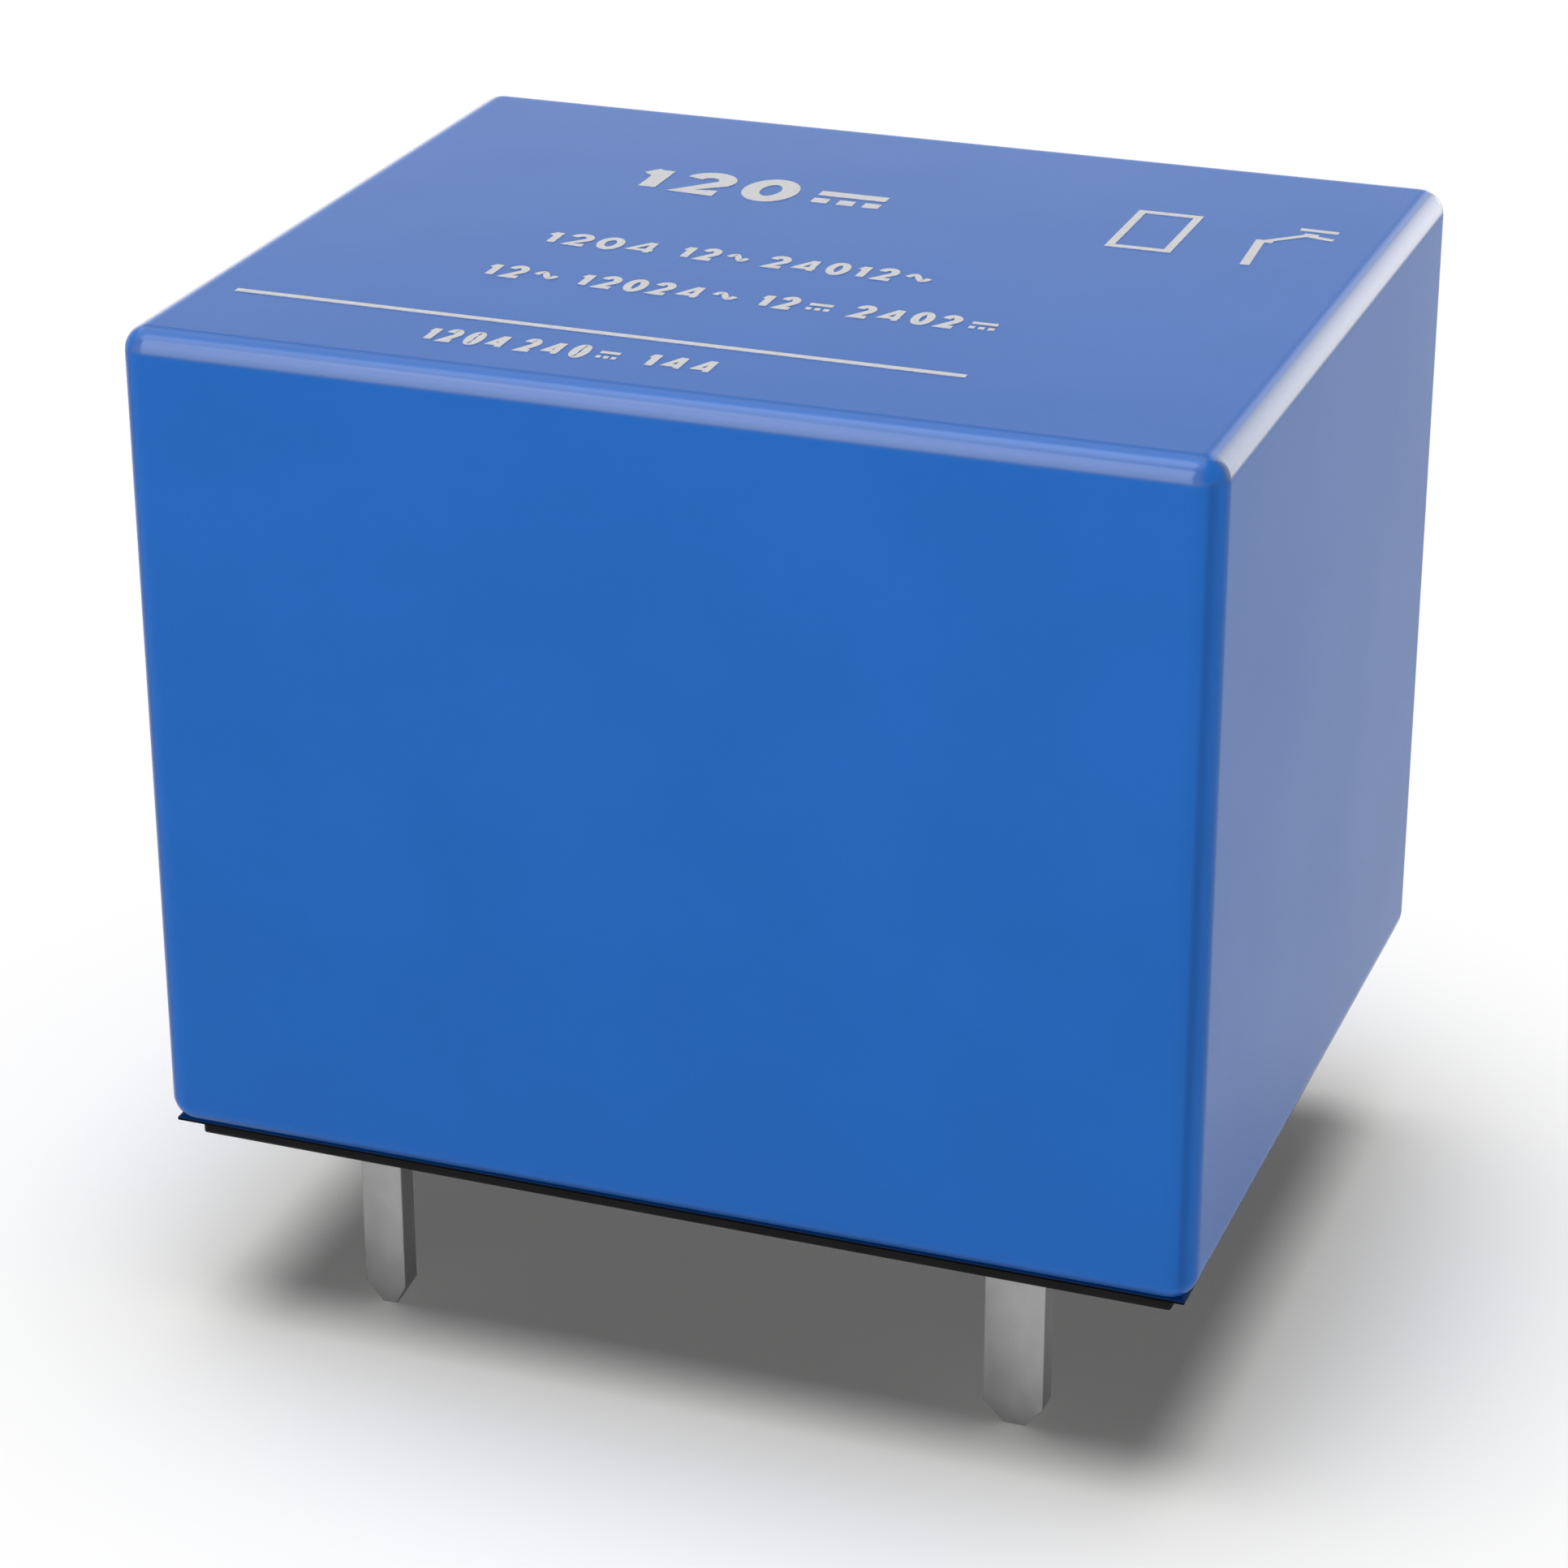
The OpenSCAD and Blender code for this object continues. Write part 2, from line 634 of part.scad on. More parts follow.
// Wire from the winding's surface to the solder on one post
module lead_wire(side) {
    post = [coil_x, side * row_y, lug_top + post_height / 2];
    toward = post - [core_x, 0, post.z];
    start_radius = winding_radius - lead_radius;
    start = [core_x, 0, lug_top + 2 * lead_radius] + start_radius * toward / norm(toward);
    run = post - start;
    length = norm(run) - solder_radius + lead_radius;
    translate(start) {
        sphere(lead_radius);
        rotate([0, acos(run.z / norm(run)), atan2(run.y, run.x)]) cylinder(r = lead_radius, h = length);
    }
}

// Coil terminal: pin, shoulder in the bobbin's lug, and solder post
module coil_terminal(side) {
    color("silver") translate([coil_x, side * row_y, 0]) {
        pin_blade([coil_pin_width, strip_thickness], floor_top + joint);
        translate([0, 0, floor_top + seat_gap]) linear_extrude(coil_shoulder_height)
            square([coil_shoulder_width, strip_thickness], center = true);
        translate([0, 0, floor_top + coil_shoulder_height])
            linear_extrude(lug_top + post_height - floor_top - coil_shoulder_height)
                square([post_width, strip_thickness], center = true);
    }
}

// Solder that holds a lead on its post
module solder_joint(side) {
    color("lightgray") translate([coil_x, side * row_y, 0]) difference() {
        translate([0, 0, lug_top + post_height / 2]) sphere(solder_radius);
        translate([0, 0, lug_top]) linear_extrude(post_height + cut)
            square([post_width + 2 * seat_gap, strip_thickness + 2 * seat_gap], center = true);
    }
}

// Common terminal: pin below and riveted plate behind the yoke
module common_terminal() {
    color("silver") difference() {
        translate([common_x, 0, 0]) {
            pin_blade([strip_thickness, contact_pin_width], floor_top + joint);
            translate([-strip_thickness / 2, -common_plate_half, floor_top + seat_gap])
                cube([strip_thickness, 2 * common_plate_half, leg_top - floor_top - seat_gap]);
        }
        rivet_bores(rivet_radius + seat_gap);
    }
}

// Bores along X for the two rivets behind the yoke
module rivet_bores(radius) {
    for (z = yoke_rivet_levels)
        translate([common_x - strip_thickness, 0, z]) rotate([0, 90, 0])
            cylinder(r = radius, h = yoke_back - common_x + strip_thickness);
}

// Rivets through the common plate, the leaf's leg and the yoke
module yoke_rivets() {
    rear = common_x - strip_thickness / 2 - seat_gap;
    color("#b9a26a")
        for (z = yoke_rivet_levels)
            translate([rear, 0, z]) rotate([0, 90, 0]) {
                cylinder(r = rivet_radius, h = yoke_front - rear);
                rotate([180, 0, 0]) domed_head(rivet_head_radius, rivet_head_height, rivet_dome_radius);
            }
}

// Contact terminal: pin, upright strip in its socket, and arm over or under the moving contact
module contact_terminal(side, arm_top) {
    color("silver") {
        translate([contact_x, side * row_y, 0])
            pin_blade([contact_pin_width, strip_thickness], floor_top + joint);
        difference() {
            intersection() {
                translate([contact_x - arm_width / 2, 0, 0]) rotate([90, 0, 90])
                    linear_extrude(arm_width) arm_profile(side, arm_top);
                arm_plan(side, arm_top);
            }
            translate([contact_x, 0, arm_top - strip_thickness - cut])
                cylinder(r = contact_shank_radius + seat_gap, h = strip_thickness + 2 * cut);
        }
    }
}

// View along X of a strip that goes up beside the case's wall and bends inwards
module arm_profile(side, arm_top) {
    bend_y = arm_outer - bend_outer_radius;
    bend_z = arm_top - bend_outer_radius;
    mirror([side > 0 ? 0 : 1, 0]) {
        translate([row_y - strip_thickness / 2, floor_top + seat_gap])
            square([strip_thickness, bend_z - floor_top - seat_gap]);
        translate([-arm_width / 2, arm_top - strip_thickness])
            square([arm_width / 2 + bend_y, strip_thickness]);
        intersection() {
            translate([bend_y, bend_z]) difference() {
                circle(bend_outer_radius);
                circle(arm_bend_radius);
            }
            translate([bend_y, bend_z]) square(bend_outer_radius);
        }
    }
}

// View from above of the same strip, with its end round the contact
module arm_plan(side, arm_top) {
    linear_extrude(arm_top + cut) translate([contact_x, 0]) {
        circle(arm_width / 2);
        translate([-arm_width / 2, side > 0 ? 0 : -arm_outer - cut]) square([arm_width, arm_outer + cut]);
    }
}

// Fixed contact riveted in its arm; facing is 1 up or -1 down
module fixed_contact(level, facing) {
    color("#c9ccd0") translate([contact_x, 0, level]) mirror([0, 0, facing > 0 ? 0 : 1]) {
        translate([0, 0, seat_gap]) domed_head(contact_radius, contact_height, contact_dome_radius);
        translate([0, 0, -strip_thickness]) cylinder(r = contact_shank_radius, h = strip_thickness + joint);
    }
}

// Iron plate that rocks on the yoke's top edge and is pulled to the pole
module armature() {
    color("#8d9096") released() difference() {
        linear_extrude(armature_thickness) armature_outline();
        rear_bevel();
        for (x = armature_rivet_places)
            translate([x - yoke_back, 0, -cut])
                cylinder(r = rivet_radius + seat_gap, h = armature_thickness + 2 * cut);
    }
}

// Plan of the armature: a neck between the yoke's ears, the plate and a tapered nose
module armature_outline() {
    neck = yoke_width / 2 - yoke_ear_width - ear_fit;
    shoulder = yoke_thickness + ear_fit;
    half = yoke_width / 2;
    taper_start = core_x + pole_radius - yoke_back;
    front = barrier_x - armature_nose_gap - yoke_back;
    nose = armature_nose_width / 2;
    polygon([
        [0, -neck], [shoulder, -neck], [shoulder, -half], [taper_start, -half], [front, -nose],
        [front, nose], [taper_start, half], [shoulder, half], [shoulder, neck], [0, neck]
    ]);
}

// Cut that bevels the armature's upper rear edge, clear of the leaf's bend
module rear_bevel() {
    translate([0, yoke_width, armature_thickness]) rotate([90, 0, 0])
        linear_extrude(2 * yoke_width)
            polygon([[-cut, -armature_bevel - cut], [armature_bevel + cut, cut], [-cut, cut]]);
}

// Rivets that hold the leaf down on the armature
module armature_rivets() {
    top = leaf_bottom + leaf_thickness + seat_gap;
    color("#b9a26a") released()
        for (x = armature_rivet_places)
            translate([x - yoke_back, 0, 0]) {
                translate([0, 0, seat_gap]) cylinder(r = rivet_radius, h = top);
                translate([0, 0, top]) domed_head(rivet_head_radius, rivet_head_height, rivet_dome_radius);
            }
}

// Point of a cubic curve between four control points
function curve_point(p, t) =
    pow(1 - t, 3) * p[0] + 3 * pow(1 - t, 2) * t * p[1] + 3 * (1 - t) * pow(t, 2) * p[2] + pow(t, 3) * p[3];

// Side view of the leaf's middle line: up the yoke, out round the hinge and along the armature
leaf_slope = [cos(armature_swing), sin(armature_swing)];
leaf_height = leaf_bottom + leaf_thickness / 2;
leaf_origin = [yoke_back, hinge_z] + leaf_height * [-leaf_slope.y, leaf_slope.x];
leaf_joint = leaf_origin + leaf_landing * leaf_slope;
leaf_controls = [
    [leaf_leg_x, leg_top], [leaf_leg_x, hinge_z + leaf_thickness],
    leaf_joint - leaf_reach * leaf_slope, leaf_joint
];
bend_steps = 20;
leaf_line = concat(
    [[leaf_leg_x, leg_bottom]],
    [for (i = [0 : bend_steps]) curve_point(leaf_controls, i / bend_steps)],
    [leaf_origin + (lever + leaf_tip_width / 2) * leaf_slope]
);

// Unit vector across the middle line at one of its points
function across(line, i) =
    let (
        before = line[max(i - 1, 0)],
        after = line[min(i + 1, len(line) - 1)],
        run = (after - before) / norm(after - before)
    ) [-run.y, run.x];

// Outline of the leaf seen from the side, half its thickness each way from the middle line
module leaf_profile() {
    half = leaf_thickness / 2;
    last = len(leaf_line) - 1;
    left = [for (i = [0 : last]) leaf_line[i] + half * across(leaf_line, i)];
    right = [for (i = [last : -1 : 0]) leaf_line[i] - half * across(leaf_line, i)];
    polygon(concat(left, right));
}

// Spring leaf, riveted to the yoke behind and to the armature on top
module moving_leaf() {
    color("#c98f4a") difference() {
        intersection() {
            translate([0, leaf_width / 2, 0]) rotate([90, 0, 0]) linear_extrude(leaf_width) leaf_profile();
            linear_extrude(case_top) leaf_plan();
        }
        rivet_bores(rivet_radius + seat_gap);
        released() {
            for (x = armature_rivet_places)
                translate([x - yoke_back, 0, 0])
                    cylinder(r = rivet_radius + seat_gap, h = 2 * armature_thickness);
            translate([lever, 0, 0])
                cylinder(r = contact_shank_radius + seat_gap, h = 2 * armature_thickness);
        }
        translate([common_x - cut, -leaf_window_width / 2, leg_top])
            cube([yoke_back - common_x + cut, leaf_window_width, hinge_z + armature_thickness - leg_top]);
    }
}

// Plan of the leaf: narrow leg, wide plate, and a taper to the round end
module leaf_plan() {
    plate_start = yoke_back + leaf_thickness;
    flare_end = plate_start + (leaf_width - leaf_leg_width) / 2;
    plate_end = core_x + pole_radius;
    leg = leaf_leg_width / 2;
    plate = leaf_width / 2;
    tip = leaf_tip_width / 2;
    translate([common_x - cut, -leg]) square([plate_start - common_x + 2 * cut, leaf_leg_width]);
    polygon([
        [plate_start, -leg], [flare_end, -plate], [plate_end, -plate], [contact_x, -tip],
        [contact_x, tip], [plate_end, plate], [flare_end, plate], [plate_start, leg]
    ]);
    translate([contact_x, 0]) circle(tip);
}

// Double-headed contact riveted in the leaf's end
module moving_contact() {
    color("#c9ccd0") released() translate([lever, 0, leaf_bottom]) {
        translate([0, 0, leaf_thickness + seat_gap])
            domed_head(contact_radius, contact_height, contact_dome_radius);
        mirror([0, 0, 1]) translate([0, 0, seat_gap])
            domed_head(contact_radius, contact_height, contact_dome_radius);
        translate([0, 0, -joint]) cylinder(r = contact_shank_radius, h = leaf_thickness + 2 * joint);
    }
}

case();
base();
seal_bead();
pin_seals();
yoke();
core();
bobbin();
winding();
coil_terminal(-1);  // coil_terminal_front
coil_terminal(1);  // coil_terminal_rear
solder_joint(-1);  // solder_joint_front
solder_joint(1);  // solder_joint_rear
common_terminal();
yoke_rivets();
contact_terminal(-1, open_arm_top);  // normally_open_terminal
contact_terminal(1, closed_arm_top);  // normally_closed_terminal
fixed_contact(open_arm_top, 1);  // normally_open_contact
fixed_contact(closed_arm_bottom, -1);  // normally_closed_contact
armature();
armature_rivets();
moving_leaf();
moving_contact();
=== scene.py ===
import json
import math
import bmesh
import bpy
import numpy as np
from mathutils import Matrix, Vector


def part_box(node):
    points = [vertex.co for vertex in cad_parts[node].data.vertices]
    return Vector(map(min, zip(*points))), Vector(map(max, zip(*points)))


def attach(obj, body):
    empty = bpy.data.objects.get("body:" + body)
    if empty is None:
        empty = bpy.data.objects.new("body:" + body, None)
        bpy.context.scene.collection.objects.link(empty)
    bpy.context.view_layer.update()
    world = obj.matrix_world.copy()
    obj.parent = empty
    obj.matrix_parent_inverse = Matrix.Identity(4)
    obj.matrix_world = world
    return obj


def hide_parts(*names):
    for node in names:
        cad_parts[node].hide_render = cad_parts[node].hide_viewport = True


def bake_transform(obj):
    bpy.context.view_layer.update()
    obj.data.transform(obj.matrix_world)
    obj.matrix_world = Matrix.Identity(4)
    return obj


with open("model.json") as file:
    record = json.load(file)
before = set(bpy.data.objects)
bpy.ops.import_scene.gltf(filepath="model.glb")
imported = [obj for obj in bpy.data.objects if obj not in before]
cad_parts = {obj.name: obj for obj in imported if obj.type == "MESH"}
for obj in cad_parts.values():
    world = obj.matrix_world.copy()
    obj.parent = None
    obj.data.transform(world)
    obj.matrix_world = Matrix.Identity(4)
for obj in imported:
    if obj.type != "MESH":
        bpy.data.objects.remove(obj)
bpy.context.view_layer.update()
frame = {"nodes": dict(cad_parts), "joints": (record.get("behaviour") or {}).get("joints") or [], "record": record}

mm = 0.001   # the frame is in metres
print("frame loaded:", len(frame["nodes"]), "nodes")


class Signal:
    # One output socket. Arithmetic on it adds Math nodes and gives a new Signal.
    def __init__(self, finish, socket):
        self.finish = finish
        self.socket = socket

    def maths(self, operation, first, second=0.0):
        return self.finish.add("ShaderNodeMath", {"operation": operation}, {0: first, 1: second})

    def __add__(self, other): return self.maths("ADD", self, other)
    def __radd__(self, other): return self.maths("ADD", other, self)
    def __sub__(self, other): return self.maths("SUBTRACT", self, other)
    def __rsub__(self, other): return self.maths("SUBTRACT", other, self)
    def __mul__(self, other): return self.maths("MULTIPLY", self, other)
    def __rmul__(self, other): return self.maths("MULTIPLY", other, self)
    def sine(self): return self.maths("SINE", self)
    def absolute(self): return self.maths("ABSOLUTE", self)
    def atLeast(self, other): return self.maths("MAXIMUM", self, other)

    def ramp(self, low, high, lowResult=0.0, highResult=1.0):   # smooth step between two levels
        return self.finish.add("ShaderNodeMapRange", {"interpolation_type": "SMOOTHSTEP"},
                               {"Value": self, "From Min": low, "From Max": high,
                                "To Min": lowResult, "To Max": highResult})

    def output(self, name):   # another output of the same node
        return Signal(self.finish, self.socket.node.outputs[name])


class Finish:
    # A node tree that is filled from Python
    def __init__(self, tree):
        self.tree = tree
        tree.nodes.clear()

    def add(self, kind, settings=None, inputs=None, output=0):
        node = self.tree.nodes.new(kind)
        for name, value in (settings or {}).items():
            setattr(node, name, value)
        for name, value in (inputs or {}).items():
            if isinstance(value, Signal):
                self.tree.links.new(value.socket, node.inputs[name])
            else:
                node.inputs[name].default_value = value
        return Signal(self, node.outputs[output]) if len(node.outputs) else None

    def place(self, scale=(1, 1, 1), centre=(0, 0, 0)):   # object coordinates in millimetres
        coordinates = self.add("ShaderNodeTexCoord", output="Object")
        return self.add("ShaderNodeMapping", None,
                        {"Vector": coordinates, "Location": centre, "Scale": [s / mm for s in scale]})

    def split(self, vector, axis):   # one axis of a vector; output() gives the others
        return self.add("ShaderNodeSeparateXYZ", None, {"Vector": vector}, output=axis)

    def noise(self, scale, detail, roughness, stretch=(1, 1, 1)):
        return self.add("ShaderNodeTexNoise", None,
                        {"Vector": self.place(stretch), "Scale": scale, "Detail": detail,
                         "Roughness": roughness})

    def mix(self, factor, first, second):
        return self.add("ShaderNodeMix", {"data_type": "RGBA"},
                        {"Factor": factor, 6: first, 7: second}, output=2)

    def bump(self, height, depth):   # depth in millimetres for a height of 1
        return self.add("ShaderNodeBump", None, {"Height": height, "Distance": depth * mm, "Strength": 1.0})

    def surface(self, **inputs):
        named = {name.replace("_", " "): value for name, value in inputs.items()}
        shader = self.add("ShaderNodeBsdfPrincipled", None, named)
        self.add("ShaderNodeOutputMaterial", None, {"Surface": shader})


def titled(name):   # soft_iron becomes SoftIron
    return name.title().replace("_", "")


def newMaterial(name):
    material = bpy.data.materials.new(name)
    material.use_nodes = True
    return material, Finish(material.node_tree)


def colour(red, green, blue):
    return (red, green, blue, 1.0)


noiseSpan = (0.3, 0.7)   # nearly all of a noise lies between these levels

# Each noise is (scale, detail, roughness) and, for a streak, the stretch of its coordinates.
# Edge fades are (start, end) in edge widths from the outside; half sizes and levels are in millimetres.
bluePlasticLook = {
    "cloud": (0.35, 4.0, 0.6), "grain": (26.0, 2.0, 0.5), "wave": (0.22, 1.0, 0.4), "toneSpan": (0.35, 0.65),
    "colours": (colour(0.0120, 0.102, 0.384), colour(0.0114, 0.098, 0.370)),
    "roughness": (0.15, 0.19), "ior": 1.19, "grainDepth": 0.0008, "waveDepth": 0.02,
    "half": (9.5, 7.75, 7.5), "middle": (0, 0, 7.9), "edge": 0.5,
    "edgeFades": ((0.60, 0.40), (0.44, 0.18), (0.98, 0.76)), "coatFade": (0.80, 0.58),
    # painted shade: the base colour's factors along the roof's end and side edges, along the vertical edges and on
    # the roof's ball corners
    "endEdgeShade": 0.45, "sideEdgeShade": 0.76, "cornerShade": 0.76, "tipShade": 0.95,
    # painted shade of the case's lower rim: the base colour's factor there and where it fades out
    "rimFade": (0.18, 0.33), "rimShade": 0.58,
    "coatRoughness": 0.2, "coatIor": 1.5,
}


def bluePlastic():
    look = bluePlasticLook
    material, f = newMaterial("BluePlastic")
    cloud, grain, wave = (f.noise(*look[name]) for name in ("cloud", "grain", "wave"))
    height = grain * look["grainDepth"] + wave * look["waveDepth"]
    level = f.split(f.place(centre=[-m for m in look["middle"]]), "Z")
    distances = (level.output("X").absolute(), level.output("Y").absolute(), level)

    def nearOutside(axis, fade):   # 0 inside, 1 near the outside of an axis
        start, end = (look["half"][axis] - share * look["edge"] for share in fade)
        return distances[axis].ramp(start, end)

    # an edge is where two of the three are 1; the base colour gets painted shade along the roof's edges and the
    # vertical edges, and the lower edge a painted shade of its own
    x, y, z = (nearOutside(axis, fade) for axis, fade in enumerate(look["edgeFades"]))
    paintedShade = (1 - x * z * (1 - look["endEdgeShade"])) * (1 - y * z * (1 - look["sideEdgeShade"]))
    paintedShade = paintedShade * (1 - x * y * (1 - look["cornerShade"]))
    alongX, alongY = (nearOutside(axis, look["coatFade"]) for axis in (0, 1))
    tip = alongX * alongY * z   # the roof's ball corners, plain blue
    coat = alongX.atLeast(alongY) * z * (1 - tip)   # the roof's edges come glossier out of the mould
    # the ball corners get a light painted shade of their own in place of the edges' painted shade
    paintedShade = paintedShade * (1 - tip) + tip * look["tipShade"]
    # painted shade darkens the base colour towards the lower rim of the case
    rimStart, rimEnd = (step - look["half"][2] for step in look["rimFade"])
    rimPaintedShade = level.ramp(rimStart, rimEnd, look["rimShade"], 1.0)
    tone = f.mix(cloud.ramp(*look["toneSpan"]), *look["colours"])
    f.surface(Base_Color=f.mix(rimPaintedShade * paintedShade, colour(0, 0, 0), tone),
              Roughness=cloud.ramp(*noiseSpan, *look["roughness"]), IOR=look["ior"],
              Coat_Weight=coat, Coat_Roughness=look["coatRoughness"], Coat_IOR=look["coatIor"],
              Normal=f.bump(height, 1.0))
    return material


printInkLook = {
    "speck": (9.0, 4.0, 0.7), "colours": (colour(0.43, 0.43, 0.44), colour(0.47, 0.47, 0.48)),
    "roughness": 0.55, "depth": 0.004,
}


def printInk():
    look = printInkLook
    material, f = newMaterial("PrintInk")
    speck = f.noise(*look["speck"])
    f.surface(Base_Color=f.mix(speck.ramp(*noiseSpan), *look["colours"]), Roughness=look["roughness"],
              Normal=f.bump(speck, look["depth"]))
    return material


# The lip's slope is a darker black than the plate below, with a painted reflection of the blue case near its top;
# levels are in millimetres
blackPlasticLook = {
    "cloud": (0.8, 3.0, 0.55), "grain": (18.0, 3.0, 0.6), "toneSpan": (0.35, 0.65),
    "colours": (colour(0.0085, 0.0085, 0.009), colour(0.0105, 0.0105, 0.011)),
    "roughness": (0.35, 0.45), "ior": 1.25, "specular": 0.08, "depth": 0.004,
    "lipStart": (0.385, 0.40), "lipEnd": (0.54, 0.56), "mirrorStart": (0.43, 0.48),
    "lipColours": (colour(0.001, 0.001, 0.001), colour(0.002, 0.042, 0.18)),
}


def blackPlastic():
    look = blackPlasticLook
    material, f = newMaterial("BlackPlastic")
    cloud, grain = (f.noise(*look[name]) for name in ("cloud", "grain"))
    level = f.split(f.place(), "Z")
    tone = f.mix(cloud.ramp(*look["toneSpan"]), *look["colours"])
    onLip = level.ramp(*look["lipStart"]) * (1 - level.ramp(*look["lipEnd"]))
    # painted reflection of the blue case on the upper part of the lip
    lipPaintedReflection = f.mix(level.ramp(*look["mirrorStart"]), *look["lipColours"])
    f.surface(Base_Color=f.mix(onLip, tone, lipPaintedReflection), Roughness=grain.ramp(*noiseSpan, *look["roughness"]),
              IOR=look["ior"], Specular_IOR_Level=look["specular"], Normal=f.bump(grain, look["depth"]))
    return material


# The strips' broad faces are plated and their cut sides duller, and their base colour gets darker towards the
# pins' tips.
# The broad faces look along Y, but those of the common pin, in the middle of Y, look along X.
tinnedStripLook = {
    "cloud": (1.9, 6.0, 0.72), "streak": (5.0, 4.0, 0.6, (1, 1, 0.25)), "grain": (30.0, 2.0, 0.5),
    "toneSpan": (0.36, 0.64), "broadSpan": (0.3, 0.9),
    "plated": (colour(0.365, 0.365, 0.363), colour(0.395, 0.395, 0.393)),
    "cut": (colour(0.255, 0.255, 0.253), colour(0.285, 0.285, 0.283)),
    "cloudShare": 0.7, "turnedUpTo": (2.0, 3.0), "tipFade": (-3.4, -1.6), "tipShade": 0.86,
    "metallic": 0.85, "roughness": (0.46, 0.56), "cloudDepth": 0.006, "grainDepth": 0.003,
}


def tinnedStrip():
    look = tinnedStripLook
    material, f = newMaterial("TinnedStrip")
    cloud, streak, grain = (f.noise(*look[name]) for name in ("cloud", "streak", "grain"))
    tone = cloud * look["cloudShare"] + streak * (1 - look["cloudShare"])
    level = f.split(f.place(), "Z")
    facing = f.split(f.add("ShaderNodeNewGeometry", output="Normal"), "X")
    outer = level.output("Y").absolute().ramp(*look["turnedUpTo"])
    broad = facing.output("Y").absolute() * outer + facing.absolute() * (1 - outer)
    plated, cut = (f.mix(tone.ramp(*look["toneSpan"]), *look[name]) for name in ("plated", "cut"))
    metal = f.mix(broad.ramp(*look["broadSpan"]), cut, plated)
    towardsTip = level.ramp(*look["tipFade"], look["tipShade"], 1.0)
    f.surface(Base_Color=f.mix(towardsTip, colour(0, 0, 0), metal), Metallic=look["metallic"],
              Roughness=tone.ramp(*noiseSpan, *look["roughness"]),
              Normal=f.bump(cloud * look["cloudDepth"] + grain * look["grainDepth"], 1.0))
    return material


copperWireLook = {
    "cloud": (1.6, 3.0, 0.6), "slope": (0.45, 1.0, 0.4),
    "colours": (colour(0.46, 0.14, 0.045), colour(0.62, 0.23, 0.08)),
    "metallic": 0.9, "roughness": (0.22, 0.34), "coat": 0.5,
    "turnPitch": 0.14, "turnHeight": 0.02, "climb": 9.0, "cloudDepth": 0.004,
}


def copperWire():
    look = copperWireLook
    material, f = newMaterial("CopperWire")
    cloud = f.noise(*look["cloud"])
    slope = f.noise(*look["slope"])   # the turns climb a little as they go round
    turns = (f.split(f.place(), "Z") * (2 * math.pi / look["turnPitch"]) + slope * look["climb"]).sine()
    f.surface(Base_Color=f.mix(cloud.ramp(*noiseSpan), *look["colours"]), Metallic=look["metallic"],
              Roughness=cloud.ramp(*noiseSpan, *look["roughness"]), Coat_Weight=look["coat"],
              Normal=f.bump(cloud * look["cloudDepth"] + turns * look["turnHeight"], 1.0))
    return material


# Finishes with one noise for the tone and, where named, a second one for the roughness and the relief
evenLooks = {
    "resin": {"tone": (1.4, 3.0, 0.6), "colours": (colour(0.030, 0.028, 0.026), colour(0.055, 0.050, 0.045)),
              "roughness": (0.10, 0.2), "depth": 0.03},
    "white_plastic": {"tone": (0.9, 4.0, 0.6), "grain": (20.0, 2.0, 0.5),
                      "colours": (colour(0.70, 0.67, 0.59), colour(0.76, 0.74, 0.68)),
                      "roughness": (0.38, 0.5), "depth": 0.006},
    "soft_iron": {"tone": (0.7, 4.0, 0.65), "grain": (6.0, 3.0, 0.6, (1, 6, 1)), "metallic": 1.0,
                  "colours": (colour(0.42, 0.42, 0.44), colour(0.56, 0.56, 0.57)),
                  "roughness": (0.3, 0.42), "depth": 0.0015},
    "solder": {"tone": (3.0, 4.0, 0.6), "metallic": 1.0,
               "colours": (colour(0.52, 0.52, 0.53), colour(0.68, 0.68, 0.69)),
               "roughness": (0.18, 0.34), "depth": 0.03},
    "rivet_brass": {"tone": (4.0, 4.0, 0.6), "metallic": 1.0,
                    "colours": (colour(0.58, 0.43, 0.18), colour(0.70, 0.55, 0.27)),
                    "roughness": (0.24, 0.38), "depth": 0.006},
    "spring_copper": {"tone": (7.0, 3.0, 0.6, (0.2, 3, 0.2)), "metallic": 1.0,
                      "colours": (colour(0.62, 0.33, 0.15), colour(0.74, 0.43, 0.22)),
                      "roughness": (0.22, 0.36), "depth": 0.003},
    "contact_silver": {"tone": (5.0, 5.0, 0.65), "metallic": 1.0,
                       "colours": (colour(0.68, 0.68, 0.67), colour(0.82, 0.82, 0.81)),
                       "roughness": (0.26, 0.38), "depth": 0.001},
}


def evenFinish(slot):
    look = evenLooks[slot]
    material, f = newMaterial(titled(slot))
    tone = f.noise(*look["tone"])
    grain = f.noise(*look["grain"]) if "grain" in look else tone
    f.surface(Base_Color=f.mix(tone.ramp(*noiseSpan), *look["colours"]), Metallic=look.get("metallic", 0.0),
              Roughness=grain.ramp(*noiseSpan, *look["roughness"]), Normal=f.bump(grain, look["depth"]))
    return material


finishes = {slot: evenFinish(slot) for slot in evenLooks}
finishes.update(blue_plastic=bluePlastic(), black_plastic=blackPlastic(), tinned_strip=tinnedStrip(),
                copper_wire=copperWire())
slotOf = {part["node"]: part["material_slot"] for part in frame["record"]["subparts"]}
for nodeName, node in frame["nodes"].items():
    node.data.materials.clear()
    node.data.materials.append(finishes[slotOf[nodeName]])
print("finishes made:", len(finishes))


sharpAngle = math.radians(30)   # edges steeper than this stay sharp or get a bevel
flatAngle = math.radians(1)     # facets of a solid that meet at less than this become one
madeMerge = 0.0001 * mm         # points nearer than this become one, in meshes made here
solidMerge = 0.001 * mm         # and in copies of the solids


